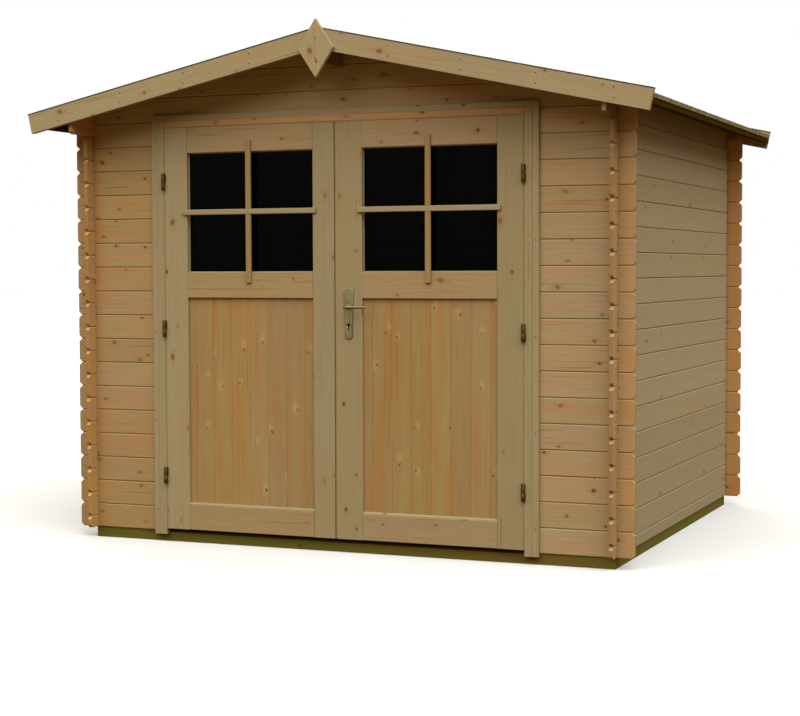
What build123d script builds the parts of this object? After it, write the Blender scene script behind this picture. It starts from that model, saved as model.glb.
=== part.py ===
"""Log-board garden shed with a glazed pair of doors and a low gable roof.

Millimetres, +Z up, +X to the right when facing the doors, +Y to the rear.
The origin lies on the ground under the middle of the roof.
Boards stack with a small seat gap, and cross at the corners by quarter-height notches.
"""

import math
import os

from build123d import *

# Wall logs
log_height = 114.0
log_thick = 19.0
log_edge_chamfer = 4.0
log_end_chamfer = 15.0
tongue_width = 7.0
tongue_height = 7.0
tongue_fit = 0.6
notch_fit = 0.3
notch_share = 0.25
half_share = 0.5
seat_gap = 0.3

# Plan of the shed
wall_width = 2608.0
wall_depth = 2232.0
corner_projection = 78.0
side_log_projection = 66.0
door_rows = 17
gable_rows = 3

# Base
bearer_height = 50.0
bearer_width = 70.0
bearer_inset = 8.0
joist_width = 50.0
joist_count = 3
floor_thick = 19.0

# Roof
roof_pitch_deg = 12.25
roof_thick = 18.0
roof_edge_overhang = 201.0
front_overhang = 216.0
rear_overhang = 114.0
eave_log_height = 95.0
purlin_width = 58.0
purlin_height = 110.0
batten_width = 45.0
batten_thick = 18.0
barge_thick = 26.0
barge_depth = 90.0
barge_proud = 25.0
barge_end_overhang = 207.0
finial_width = 172.0
finial_height = 258.0
finial_thick = 20.0
finial_rise = 38.0

# Doorway
door_width = 1786.0
door_face = 20.0
post_width = 36.0
trim_width = 28.0
trim_thick = 18.0
trim_drop = 14.0
stop_lap = 20.0
head_height = 27.0
threshold_height = 8.0

# Door leaves
leaf_thick = 33.0
leaf_hinge_gap = 5.0
leaf_head_gap = 5.0
leaf_lift = 14.0
meeting_gap = 8.0
meeting_offset = 9.0
stile_width = 120.0
left_meeting_stile = 106.0
right_meeting_stile = 130.0
rail_width = 120.0
mid_rail_base = 1110.0
panel_thick = 16.0
panel_recess = 13.0
glass_thick = 4.0
glass_recess = 25.0
groove_depth = 12.0
groove_fit = 0.3
leaf_edge_chamfer = 2.0

# Hinges
hinge_radius = 9.0
hinge_height = 78.0
hinge_pin_radius = 4.0
hinge_pin_fit = 0.3
hinge_pin_share = 0.8
hinge_knuckle_gap = 1.0
hinge_face_gap = 1.0
hinge_cap_chamfer = 2.0
hinge_levels = (269.0, 965.0, 1655.0)

# Lock plates and lever
plate_width = 50.0
plate_height = 228.0
plate_thick = 6.0
plate_arch = 9.0
plate_edge_fillet = 1.5
plate_base = 927.0
spindle_level = 1071.0
spindle_radius = 5.0
spindle_fit = 1.0
neck_radius = 9.0
neck_length = 34.0
neck_fit = 0.6
grip_length = 112.0
grip_height = 19.0
grip_thick = 13.0
grip_fillet = 4.0
cylinder_level = 990.0
cylinder_radius = 8.5
cylinder_stem_width = 10.0
cylinder_stem_height = 24.0

# Derived levels
wall_base = bearer_height
notch_depth = log_height * notch_share
half_log_height = log_height * half_share
front_top = wall_base + door_rows * log_height
side_rows = door_rows - 1
side_top = wall_base + half_log_height + side_rows * log_height
floor_top = wall_base + floor_thick
roof_slope = math.tan(math.radians(roof_pitch_deg))
roof_cos = math.cos(math.radians(roof_pitch_deg))
roof_sin = math.sin(math.radians(roof_pitch_deg))

# Derived plan positions
half_width = wall_width / 2
inner_half_width = half_width - log_thick
side_line = half_width - log_thick / 2
roof_depth = front_overhang + wall_depth + rear_overhang
roof_front = -roof_depth / 2
roof_rear = roof_depth / 2
front_face = roof_front + front_overhang
rear_face = roof_rear - rear_overhang
front_line = front_face + log_thick / 2
rear_line = rear_face - log_thick / 2
log_front = front_face - side_log_projection
log_rear = rear_face + side_log_projection
log_side = half_width + corner_projection
board_front = roof_front + barge_thick + seat_gap
board_rear = roof_rear - barge_thick - seat_gap
roof_edge = half_width + roof_edge_overhang

# Derived doorway positions
half_door = door_width / 2
post_outer = half_door + post_width
door_front = front_face - door_face
post_rear = front_face + log_thick
leaf_bottom = wall_base + leaf_lift
leaf_top = front_top - head_height - leaf_head_gap
leaf_height = leaf_top - leaf_bottom
leaf_hinge_edge = half_door - leaf_hinge_gap
meeting_line = -meeting_offset
left_leaf_end = meeting_line - meeting_gap / 2
right_leaf_end = meeting_line + meeting_gap / 2
leaf_middle = door_front + leaf_thick / 2
hinge_x = half_door - leaf_hinge_gap / 2
hinge_y = door_front - hinge_radius - hinge_face_gap
plate_x = right_leaf_end + right_meeting_stile / 2


def roof_under(x):
    """Height of the roof's underside at a distance x from the ridge line."""
    return side_top + eave_log_height + (half_width - x) * roof_slope


def log_section(height):
    """End view of a log standing on its groove, with its tongue and its V edges."""
    with BuildSketch() as section:
        Rectangle(log_thick, height - seat_gap, align=(Align.CENTER, Align.MIN))
        chamfer(section.vertices(), log_edge_chamfer)
        with Locations((0, height - seat_gap)):
            Rectangle(tongue_width, tongue_height, align=(Align.CENTER, Align.MIN))
        Rectangle(
            tongue_width + 2 * tongue_fit,
            tongue_height + tongue_fit,
            align=(Align.CENTER, Align.MIN),
            mode=Mode.SUBTRACT,
        )
    return section.sketch


def log_view(start, end, height, crossings, under_notch=True, far_end_square=False):
    """Face view of a log: bevelled ends and the notches where other logs cross it."""
    shoulder = height - seat_gap
    tongue_end = end if far_end_square else end - log_end_chamfer
    with BuildSketch() as view:
        with Locations((start, 0)):
            Rectangle(end - start, shoulder, align=(Align.MIN, Align.MIN))
        corners = view.vertices().sort_by(Axis.X)
        chamfer(corners[:2] if far_end_square else corners, log_end_chamfer)
        with Locations((start + log_end_chamfer, shoulder)):
            Rectangle(
                tongue_end - start - log_end_chamfer,
                tongue_height,
                align=(Align.MIN, Align.MIN),
            )
        with Locations(*[(crossing, shoulder + tongue_height) for crossing in crossings]):
            Rectangle(
                log_thick + 2 * notch_fit,
                notch_depth + notch_fit + tongue_height,
                align=(Align.CENTER, Align.MAX),
                mode=Mode.SUBTRACT,
            )
        if under_notch:
            with Locations(*[(crossing, 0) for crossing in crossings]):
                Rectangle(
                    log_thick + 2 * notch_fit,
                    notch_depth + notch_fit,
                    align=(Align.CENTER, Align.MIN),
                    mode=Mode.SUBTRACT,
                )
    return view.sketch


full_section = log_section(log_height)
half_section = log_section(half_log_height)

# One log of each kind, made on its own wall's line at level zero
front_log_view = log_view(
    -log_side, -post_outer - seat_gap, log_height, [-side_line], far_end_square=True
)
with BuildPart() as front_log:
    with BuildSketch(Plane.YZ.offset(-log_side)):
        add(full_section)
    extrude(amount=log_side - post_outer - seat_gap)
    with BuildSketch(Plane.XZ):
        add(front_log_view)
    extrude(amount=log_thick, both=True, mode=Mode.INTERSECT)

rear_log_view = log_view(-log_side, log_side, log_height, [-side_line, side_line])
with BuildPart() as rear_log:
    with BuildSketch(Plane.YZ.offset(-log_side)):
        add(full_section)
    extrude(amount=2 * log_side)
    with BuildSketch(Plane.XZ):
        add(rear_log_view)
    extrude(amount=log_thick, both=True, mode=Mode.INTERSECT)

side_log_view = log_view(log_front, log_rear, log_height, [front_line, rear_line])
with BuildPart() as side_log:
    with BuildSketch(Plane.XZ.offset(-log_front)):
        add(full_section)
    extrude(amount=log_front - log_rear)
    with BuildSketch(Plane.YZ):
        add(side_log_view)
    extrude(amount=log_thick, both=True, mode=Mode.INTERSECT)

half_log_view = log_view(
    log_front, log_rear, half_log_height, [front_line, rear_line], under_notch=False
)
with BuildPart() as half_log:
    with BuildSketch(Plane.XZ.offset(-log_front)):
        add(half_section)
    extrude(amount=log_front - log_rear)
    with BuildSketch(Plane.YZ):
        add(half_log_view)
    extrude(amount=log_thick, both=True, mode=Mode.INTERSECT)

with BuildPart() as gable_log:
    with BuildSketch(Plane.YZ.offset(-inner_half_width)):
        add(full_section)
    extrude(amount=2 * inner_half_width)

# Walls: each is a stack of its own log
front_rows = [wall_base + row * log_height for row in range(door_rows)]
side_levels = [wall_base + half_log_height + row * log_height for row in range(side_rows)]
gable_levels = [front_top + row * log_height for row in range(gable_rows)]

with BuildPart() as front_wall_left:
    with Locations(*[(0, front_line, level) for level in front_rows]):
        add(front_log.part)

with BuildPart() as front_wall_right:
    add(front_wall_left.part)
    mirror(about=Plane.YZ, mode=Mode.REPLACE)

with BuildPart() as rear_wall:
    with Locations(*[(0, rear_line, level) for level in front_rows]):
        add(rear_log.part)

with BuildPart() as right_wall:
    with Locations(*[(side_line, 0, level) for level in side_levels]):
        add(side_log.part)
    with Locations((side_line, 0, wall_base)):
        add(half_log.part)

with BuildPart() as left_wall:
    add(right_wall.part)
    mirror(about=Plane.YZ, mode=Mode.REPLACE)

# Gables: the top rows, cut to the roof and round the ridge purlin
gable_end = inner_half_width - seat_gap
gable_eave = roof_under(inner_half_width) - seat_gap
gable_apex = roof_under(0) - seat_gap
purlin_base = roof_under(0) - purlin_height
with BuildSketch() as gable_outline:
    with BuildLine():
        Polyline(
            (-gable_end, front_top),
            (gable_end, front_top),
            (gable_end, gable_eave),
            (0, gable_apex),
            (-gable_end, gable_eave),
            close=True,
        )
    make_face()
    with Locations((0, purlin_base - seat_gap)):
        Rectangle(
            purlin_width + 2 * seat_gap,
            purlin_height,
            align=(Align.CENTER, Align.MIN),
            mode=Mode.SUBTRACT,
        )

with BuildPart() as front_gable:
    with Locations(*[(0, front_line, level) for level in gable_levels]):
        add(gable_log.part)
    with BuildSketch(Plane.XZ.offset(-front_line)):
        add(gable_outline.sketch)
    extrude(amount=log_thick, both=True, mode=Mode.INTERSECT)

with BuildPart() as rear_gable:
    with Locations(*[(0, rear_line, level) for level in gable_levels]):
        add(gable_log.part)
    with BuildSketch(Plane.XZ.offset(-rear_line)):
        add(gable_outline.sketch)
    extrude(amount=log_thick, both=True, mode=Mode.INTERSECT)

# Eave logs: the top side logs, bevelled to the roof and carried on to the bargeboards
eave_outer_top = side_top + eave_log_height - seat_gap
eave_inner_top = roof_under(inner_half_width) - seat_gap
with BuildPart() as right_eave_log:
    with BuildSketch(Plane.XZ.offset(-board_front)):
        with BuildLine():
            Polyline(
                (inner_half_width, side_top + log_edge_chamfer),
                (inner_half_width + log_edge_chamfer, side_top),
                (half_width - log_edge_chamfer, side_top),
                (half_width, side_top + log_edge_chamfer),
                (half_width, eave_outer_top),
                (inner_half_width, eave_inner_top),
                close=True,
            )
        make_face()
        with Locations((side_line, side_top)):
            Rectangle(
                tongue_width + 2 * tongue_fit,
                tongue_height + tongue_fit,
                align=(Align.CENTER, Align.MIN),
                mode=Mode.SUBTRACT,
            )
    extrude(amount=board_front - board_rear)
    with BuildSketch(Plane.YZ.offset(side_line)):
        with BuildLine():
            Polyline(
                (board_front, side_top),
                (board_front + log_end_chamfer, side_top),
                (board_front, side_top + log_end_chamfer),
                close=True,
            )
        make_face()
        with BuildLine():
            Polyline(
                (board_rear, side_top),
                (board_rear - log_end_chamfer, side_top),
                (board_rear, side_top + log_end_chamfer),
                close=True,
            )
        make_face()
        with Locations((front_line, side_top), (rear_line, side_top)):
            Rectangle(
                log_thick + 2 * notch_fit,
                notch_depth + notch_fit,
                align=(Align.CENTER, Align.MIN),
            )
    extrude(amount=log_thick, both=True, mode=Mode.SUBTRACT)

with BuildPart() as left_eave_log:
    add(right_eave_log.part)
    mirror(about=Plane.YZ, mode=Mode.REPLACE)

# Ridge purlin, its top planed to both slopes
purlin_shoulder = roof_under(purlin_width / 2) - seat_gap
with BuildPart() as ridge_purlin:
    with BuildSketch(Plane.XZ.offset(-board_front)):
        with BuildLine():
            Polyline(
                (-purlin_width / 2, purlin_base),
                (purlin_width / 2, purlin_base),
                (purlin_width / 2, purlin_shoulder),
                (0, gable_apex),
                (-purlin_width / 2, purlin_shoulder),
                close=True,
            )
        make_face()
    extrude(amount=board_front - board_rear)

# Roof slopes
roof_rise = roof_thick / roof_cos
with BuildPart() as right_roof:
    with BuildSketch(Plane.XZ.offset(-board_front)):
        with BuildLine():
            Polyline(
                (seat_gap / 2, roof_under(0)),
                (roof_edge, roof_under(roof_edge)),
                (roof_edge, roof_under(roof_edge) + roof_rise),
                (seat_gap / 2, roof_under(0) + roof_rise),
                close=True,
            )
        make_face()
    extrude(amount=board_front - board_rear)

with BuildPart() as left_roof:
    add(right_roof.part)
    mirror(about=Plane.YZ, mode=Mode.REPLACE)

batten_inner = roof_edge - batten_width
batten_drop = batten_thick / roof_cos
with BuildPart() as eave_battens:
    with BuildSketch(Plane.XZ.offset(-board_front)):
        with BuildLine():
            Polyline(
                (batten_inner, roof_under(batten_inner) - seat_gap),
                (roof_edge, roof_under(roof_edge) - seat_gap),
                (roof_edge, roof_under(roof_edge) - seat_gap - batten_drop),
                (batten_inner, roof_under(batten_inner) - seat_gap - batten_drop),
                close=True,
            )
        make_face()
    extrude(amount=board_front - board_rear)
    mirror(about=Plane.YZ)

# Bargeboards: square-cut at the eaves and mitred at the ridge
barge_apex = roof_under(0) + roof_rise + barge_proud
barge_end = half_width + barge_end_overhang
barge_end_top = barge_apex - barge_end * roof_slope
with BuildSketch() as barge_pair:
    with BuildLine():
        Polyline(
            (seat_gap / 2, barge_apex),
            (barge_end, barge_end_top),
            (barge_end - barge_depth * roof_sin, barge_end_top - barge_depth * roof_cos),
            (seat_gap / 2, barge_apex - barge_depth / roof_cos),
            close=True,
        )
    make_face()
    mirror(about=Plane.YZ)

with BuildPart() as front_bargeboards:
    with BuildSketch(Plane.XZ.offset(-roof_front)):
        add(barge_pair.sketch)
    extrude(amount=-barge_thick)

with BuildPart() as rear_bargeboards:
    with BuildSketch(Plane.XZ.offset(-roof_rear)):
        add(barge_pair.sketch)
    extrude(amount=barge_thick)

finial_top = barge_apex + finial_rise
finial_waist = finial_top - finial_height / 2
with BuildPart() as gable_finial:
    with BuildSketch(Plane.XZ.offset(seat_gap - roof_front)):
        with BuildLine():
            Polyline(
                (0, finial_top),
                (finial_width / 2, finial_waist),
                (0, finial_top - finial_height),
                (-finial_width / 2, finial_waist),
                close=True,
            )
        make_face()
    extrude(amount=finial_thick)

# Base: treated bearers under the wall lines, joists and the floor
bearer_side = half_width - bearer_inset
bearer_front = front_face + bearer_inset
bearer_rear = rear_face - bearer_inset
with BuildPart() as front_bearer:
    with Locations((0, bearer_front, 0)):
        Box(
            2 * bearer_side,
            bearer_width,
            bearer_height - seat_gap,
            align=(Align.CENTER, Align.MIN, Align.MIN),
        )

with BuildPart() as rear_bearer:
    with Locations((0, bearer_rear, 0)):
        Box(
            2 * bearer_side,
            bearer_width,
            bearer_height - seat_gap,
            align=(Align.CENTER, Align.MAX, Align.MIN),
        )

side_bearer_front = bearer_front + bearer_width + seat_gap
side_bearer_rear = bearer_rear - bearer_width - seat_gap
with BuildPart() as side_bearers:
    with Locations((bearer_side, side_bearer_front, 0)):
        Box(
            bearer_width,
            side_bearer_rear - side_bearer_front,
            bearer_height - seat_gap,
            align=(Align.MAX, Align.MIN, Align.MIN),
        )
    mirror(about=Plane.YZ)

joist_half = bearer_side - bearer_width - seat_gap
joist_pitch = (side_bearer_rear - side_bearer_front) / (joist_count + 1)
with BuildPart() as floor_joists:
    with Locations(
        *[(0, side_bearer_front + step * joist_pitch, 0) for step in range(1, joist_count + 1)]
    ):
        Box(
            2 * joist_half,
            joist_width,
            bearer_height - seat_gap,
            align=(Align.CENTER, Align.CENTER, Align.MIN),
        )

floor_half = inner_half_width - seat_gap
floor_front = front_face + log_thick + seat_gap
floor_rear = rear_face - log_thick - seat_gap
with BuildPart() as floor:
    with Locations((0, floor_front, wall_base)):
        Box(
            2 * floor_half,
            floor_rear - floor_front,
            floor_thick,
            align=(Align.CENTER, Align.MIN, Align.MIN),
        )

with BuildPart() as threshold:
    with Locations((0, bearer_front, wall_base)):
        Box(
            door_width - 2 * seat_gap,
            post_rear - bearer_front,
            threshold_height,
            align=(Align.CENTER, Align.MIN, Align.MIN),
        )

# Door frame: posts notched over the front bearer, head between them, trims both sides
with BuildPart() as right_door_post:
    with Locations((half_door, door_front, wall_base - trim_drop)):
        Box(
            post_width,
            post_rear - door_front,
            front_top - wall_base + trim_drop - seat_gap,
            align=(Align.MIN, Align.MIN, Align.MIN),
        )
    with Locations((half_door, bearer_front - seat_gap, wall_base)):
        Box(
            post_width,
            post_rear - bearer_front + seat_gap,
            trim_drop,
            align=(Align.MIN, Align.MIN, Align.MAX),
            mode=Mode.SUBTRACT,
        )

with BuildPart() as left_door_post:
    add(right_door_post.part)
    mirror(about=Plane.YZ, mode=Mode.REPLACE)

with BuildPart() as door_head:
    with Locations((0, door_front, front_top - seat_gap)):
        Box(
            door_width - 2 * seat_gap,
            post_rear - door_front,
            head_height - seat_gap,
            align=(Align.CENTER, Align.MIN, Align.MAX),
        )

outer_trim_top = front_top + trim_width
with BuildPart() as outer_door_trims:
    with Locations((post_outer + seat_gap, front_face - seat_gap, wall_base - trim_drop)):
        Box(
            trim_width,
            trim_thick - seat_gap,
            outer_trim_top - wall_base + trim_drop,
            align=(Align.MIN, Align.MAX, Align.MIN),
        )
    mirror(about=Plane.YZ)
    with Locations((0, front_face - seat_gap, front_top)):
        Box(
            2 * post_outer,
            trim_thick - seat_gap,
            trim_width,
            align=(Align.CENTER, Align.MAX, Align.MIN),
        )

inner_trim_width = stop_lap + post_width + trim_width
inner_head_base = front_top - head_height - stop_lap
with BuildPart() as inner_door_trims:
    with Locations((half_door - stop_lap, post_rear + seat_gap, floor_top + seat_gap)):
        Box(
            inner_trim_width,
            trim_thick,
            inner_head_base - floor_top - 2 * seat_gap,
            align=(Align.MIN, Align.MIN, Align.MIN),
        )
    mirror(about=Plane.YZ)
    with Locations((0, post_rear + seat_gap, inner_head_base)):
        Box(
            2 * (post_outer + trim_width),
            trim_thick,
            outer_trim_top - inner_head_base,
            align=(Align.CENTER, Align.MIN, Align.MIN),
        )

# Hinges: turned lower barrels with their pins on the posts, upper barrels on the leaves
knuckle_height = (hinge_height - hinge_knuckle_gap) / 2
pin_top = hinge_height * hinge_pin_share
bore_radius = hinge_pin_radius + hinge_pin_fit
bore_top = pin_top - knuckle_height + hinge_pin_fit
pad_inner = leaf_hinge_gap / 2
pad_width = hinge_radius - pad_inner
pad_depth = door_front - hinge_y
pad_height = knuckle_height - 2 * hinge_cap_chamfer
hinge_bases = [wall_base + level - hinge_height / 2 for level in hinge_levels]

with BuildPart() as frame_barrel:
    with BuildSketch(Plane.XZ):
        with BuildLine():
            Polyline(
                (0, 0),
                (hinge_radius - hinge_cap_chamfer, 0),
                (hinge_radius, hinge_cap_chamfer),
                (hinge_radius, knuckle_height),
                (hinge_pin_radius, knuckle_height),
                (hinge_pin_radius, pin_top),
                (0, pin_top),
                close=True,
            )
        make_face()
    revolve(axis=Axis.Z)
    with Locations((pad_inner, 0, hinge_cap_chamfer)):
        Box(pad_width, pad_depth, pad_height, align=(Align.MIN, Align.MIN, Align.MIN))

with BuildPart() as leaf_barrel:
    with BuildSketch(Plane.XZ):
        with BuildLine():
            Polyline(
                (bore_radius, 0),
                (hinge_radius, 0),
                (hinge_radius, knuckle_height - hinge_cap_chamfer),
                (hinge_radius - hinge_cap_chamfer, knuckle_height),
                (0, knuckle_height),
                (0, bore_top),
                (bore_radius, bore_top),
                close=True,
            )
        make_face()
    revolve(axis=Axis.Z)
    with BuildSketch(Plane.XY.offset(hinge_cap_chamfer)):
        with Locations((-pad_inner, 0)):
            Rectangle(pad_width, pad_depth, align=(Align.MAX, Align.MIN))
        Circle(bore_radius, mode=Mode.SUBTRACT)
    extrude(amount=pad_height)

with BuildPart() as right_frame_hinges:
    with Locations(*[(hinge_x, hinge_y, base) for base in hinge_bases]):
        add(frame_barrel.part)

with BuildPart() as left_frame_hinges:
    add(right_frame_hinges.part)
    mirror(about=Plane.YZ, mode=Mode.REPLACE)

leaf_barrel_rise = knuckle_height + hinge_knuckle_gap
with BuildPart() as right_door_hinges:
    with Locations(*[(hinge_x, hinge_y, base + leaf_barrel_rise) for base in hinge_bases]):
        add(leaf_barrel.part)

with BuildPart() as left_door_hinges:
    add(right_door_hinges.part)
    mirror(about=Plane.YZ, mode=Mode.REPLACE)

# Door leaves: grooved stiles and rails round a boarded panel and a sheet of glass
panel_base = leaf_bottom + rail_width
panel_top = wall_base + mid_rail_base
glass_base = panel_top + rail_width
glass_top = leaf_top - rail_width
panel_y = door_front + panel_recess + panel_thick / 2
glass_y = door_front + glass_recess + glass_thick / 2


def leaf_pieces(low_edge, high_edge, low_stile, high_stile):
    """Stiles, rails, panel and glass of the leaf between two upright edges."""
    open_width = high_edge - high_stile - low_edge - low_stile
    open_middle = low_edge + low_stile + open_width / 2
    infill_width = open_width + 2 * groove_depth
    panel_height = panel_top - panel_base + 2 * groove_depth
    glass_height = glass_top - glass_base + 2 * groove_depth
    panel_middle = (panel_base + panel_top) / 2
    glass_middle = (glass_base + glass_top) / 2

    with BuildPart() as grooves:
        with Locations((open_middle, panel_y, panel_middle)):
            Box(
                infill_width + 2 * groove_fit,
                panel_thick + 2 * groove_fit,
                panel_height + 2 * groove_fit,
            )
        with Locations((open_middle, glass_y, glass_middle)):
            Box(
                infill_width + 2 * groove_fit,
                glass_thick + 2 * groove_fit,
                glass_height + 2 * groove_fit,
            )

    with BuildPart() as stiles:
        with Locations((low_edge, door_front, leaf_bottom)):
            Box(low_stile, leaf_thick, leaf_height, align=(Align.MIN, Align.MIN, Align.MIN))
        with Locations((high_edge, door_front, leaf_bottom)):
            Box(high_stile, leaf_thick, leaf_height, align=(Align.MAX, Align.MIN, Align.MIN))
        chamfer(stiles.edges().filter_by(Axis.Z).group_by(Axis.Y)[0], leaf_edge_chamfer)
        add(grooves.part, mode=Mode.SUBTRACT)

    with BuildPart() as rails:
        with Locations(
            (open_middle, door_front, leaf_bottom),
            (open_middle, door_front, panel_top),
            (open_middle, door_front, glass_top),
        ):
            Box(
                open_width - 2 * groove_fit,
                leaf_thick,
                rail_width,
                align=(Align.CENTER, Align.MIN, Align.MIN),
            )
        chamfer(rails.edges().filter_by(Axis.X).group_by(Axis.Y)[0], leaf_edge_chamfer)
        add(grooves.part, mode=Mode.SUBTRACT)

    with BuildPart() as panel:
        with Locations((open_middle, panel_y, panel_middle)):
            Box(infill_width, panel_thick, panel_height)

    with BuildPart() as glass:
        with Locations((open_middle, glass_y, glass_middle)):
            Box(infill_width, glass_thick, glass_height)

    return stiles, rails, panel, glass


left_door_stiles, left_door_rails, left_door_panel, left_door_glass = leaf_pieces(
    -leaf_hinge_edge, left_leaf_end, stile_width, left_meeting_stile
)
plain_right_stiles, right_door_rails, right_door_panel, right_door_glass = leaf_pieces(
    right_leaf_end, leaf_hinge_edge, right_meeting_stile, stile_width
)

spindle_z = wall_base + spindle_level
cylinder_z = wall_base + cylinder_level
with BuildPart() as right_door_stiles:
    add(plain_right_stiles.part)
    with Locations((plate_x, leaf_middle, spindle_z)):
        Cylinder(
            spindle_radius + spindle_fit,
            leaf_thick,
            rotation=(-90, 0, 0),
            mode=Mode.SUBTRACT,
        )

# Long lock plates with an arched top and foot, one each side of the leaf
plate_low = wall_base + plate_base
plate_high = plate_low + plate_height
plate_left = plate_x - plate_width / 2
plate_right = plate_x + plate_width / 2
with BuildPart() as lock_plates:
    with BuildSketch(Plane.XZ.offset(-door_front)):
        with BuildLine():
            Line((plate_left, plate_low + plate_arch), (plate_left, plate_high - plate_arch))
            ThreePointArc(
                (plate_left, plate_high - plate_arch),
                (plate_x, plate_high),
                (plate_right, plate_high - plate_arch),
            )
            Line((plate_right, plate_high - plate_arch), (plate_right, plate_low + plate_arch))
            ThreePointArc(
                (plate_right, plate_low + plate_arch),
                (plate_x, plate_low),
                (plate_left, plate_low + plate_arch),
            )
        make_face()
    extrude(amount=plate_thick)
    fillet(lock_plates.faces().sort_by(Axis.Y)[0].edges(), plate_edge_fillet)
    with BuildSketch(Plane.XZ.offset(-door_front)):
        with Locations((plate_x, spindle_z)):
            Circle(neck_radius + neck_fit)
        with Locations((plate_x, cylinder_z)):
            Circle(cylinder_radius)
            Rectangle(
                cylinder_stem_width, cylinder_stem_height, align=(Align.CENTER, Align.MAX)
            )
    extrude(amount=plate_thick, mode=Mode.SUBTRACT)
    mirror(about=Plane.XZ.offset(-leaf_middle))

# Lever pair on one spindle
grip_y = door_front - plate_thick - neck_length
grip_start = plate_x - grip_height / 2
grip_end = plate_x + grip_length
with BuildPart() as lever_grip:
    with BuildSketch(Plane.XZ.offset(-grip_y)):
        with Locations(((grip_start + grip_end) / 2, spindle_z)):
            SlotOverall(grip_end - grip_start, grip_height)
    extrude(amount=grip_thick)
    fillet(
        lever_grip.faces().filter_by(Axis.Y).edges(),
        grip_fillet,
    )

with BuildPart() as door_lever:
    add(lever_grip.part)
    with BuildSketch(Plane.XZ.offset(seat_gap - door_front)):
        with Locations((plate_x, spindle_z)):
            Circle(neck_radius)
    extrude(amount=door_front - grip_y + grip_fillet - seat_gap)
    mirror(about=Plane.XZ.offset(-leaf_middle))
    with Locations((plate_x, leaf_middle, spindle_z)):
        Cylinder(spindle_radius, leaf_thick + 2 * plate_thick, rotation=(-90, 0, 0))

pieces = {
    "front_bearer": front_bearer,
    "rear_bearer": rear_bearer,
    "side_bearers": side_bearers,
    "floor_joists": floor_joists,
    "floor": floor,
    "threshold": threshold,
    "front_wall_left": front_wall_left,
    "front_wall_right": front_wall_right,
    "rear_wall": rear_wall,
    "left_wall": left_wall,
    "right_wall": right_wall,
    "front_gable": front_gable,
    "rear_gable": rear_gable,
    "left_eave_log": left_eave_log,
    "right_eave_log": right_eave_log,
    "ridge_purlin": ridge_purlin,
    "left_roof": left_roof,
    "right_roof": right_roof,
    "eave_battens": eave_battens,
    "front_bargeboards": front_bargeboards,
    "rear_bargeboards": rear_bargeboards,
    "gable_finial": gable_finial,
    "left_door_post": left_door_post,
    "right_door_post": right_door_post,
    "door_head": door_head,
    "outer_door_trims": outer_door_trims,
    "inner_door_trims": inner_door_trims,
    "left_frame_hinges": left_frame_hinges,
    "right_frame_hinges": right_frame_hinges,
    "left_door_stiles": left_door_stiles,
    "left_door_rails": left_door_rails,
    "left_door_panel": left_door_panel,
    "left_door_glass": left_door_glass,
    "left_door_hinges": left_door_hinges,
    "right_door_stiles": right_door_stiles,
    "right_door_rails": right_door_rails,
    "right_door_panel": right_door_panel,
    "right_door_glass": right_door_glass,
    "right_door_hinges": right_door_hinges,
    "lock_plates": lock_plates,
    "door_lever": door_lever,
}
os.makedirs("parts", exist_ok=True)
for label, piece in pieces.items():
    piece.part.label = label
    export_step(piece.part, f"parts/{label}.step")
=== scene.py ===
"""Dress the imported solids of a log-board garden shed for its picture.

Every wooden solid is shown as single boards that carry their own grain. Parts too small for the
solids (panel boards, glazing bars, beads, strips, roofing felt, screws and nails) are added at
true size. Lengths are in metres, with Z up.
"""

import json
import logging
import math
import random
from collections.abc import Callable, Iterator, Sequence
from dataclasses import dataclass, replace
from enum import Enum, IntEnum
from functools import cache, partial

import bmesh
import bpy
from bmesh.types import BMesh, BMFace
from bpy.types import Material, Node, NodeSocket, NodeTree, Object
from mathutils import Matrix, Vector


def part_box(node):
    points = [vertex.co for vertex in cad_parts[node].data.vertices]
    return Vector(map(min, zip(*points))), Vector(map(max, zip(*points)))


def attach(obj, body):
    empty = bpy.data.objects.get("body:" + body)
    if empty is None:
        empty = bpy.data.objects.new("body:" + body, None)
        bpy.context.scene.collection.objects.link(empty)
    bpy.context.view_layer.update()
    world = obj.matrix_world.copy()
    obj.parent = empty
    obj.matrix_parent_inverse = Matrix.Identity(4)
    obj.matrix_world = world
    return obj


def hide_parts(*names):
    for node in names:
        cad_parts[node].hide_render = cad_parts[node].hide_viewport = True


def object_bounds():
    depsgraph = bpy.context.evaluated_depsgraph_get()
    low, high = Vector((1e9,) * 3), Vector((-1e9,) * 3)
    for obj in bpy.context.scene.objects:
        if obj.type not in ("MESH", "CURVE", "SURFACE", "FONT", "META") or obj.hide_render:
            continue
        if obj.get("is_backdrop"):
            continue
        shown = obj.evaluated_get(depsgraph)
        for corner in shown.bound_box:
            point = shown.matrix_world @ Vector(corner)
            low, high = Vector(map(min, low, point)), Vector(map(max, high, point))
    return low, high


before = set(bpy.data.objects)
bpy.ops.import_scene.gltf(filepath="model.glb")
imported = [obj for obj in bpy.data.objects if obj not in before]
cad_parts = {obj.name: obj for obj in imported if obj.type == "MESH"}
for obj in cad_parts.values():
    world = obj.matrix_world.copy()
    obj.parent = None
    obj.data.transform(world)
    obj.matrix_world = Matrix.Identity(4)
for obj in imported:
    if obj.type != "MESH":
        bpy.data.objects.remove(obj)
CAD_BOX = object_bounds()

LOGGER = logging.getLogger("shed")
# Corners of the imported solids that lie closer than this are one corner.
WELD_DISTANCE = 2e-5
# Faces that meet at less than this are one flat face.
FLAT_ANGLE = math.radians(0.5)
# Wooden edges that turn by more than the first are eased. Metal stays sharp past the second.
SHARP_ANGLE = math.radians(25.0)
ROUND_ANGLE = math.radians(35.0)

Pair = tuple[float, float]
Point = tuple[float, float, float]
Feed = Node | NodeSocket | float | tuple[float, ...]
Adder = Callable[..., Node]


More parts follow.
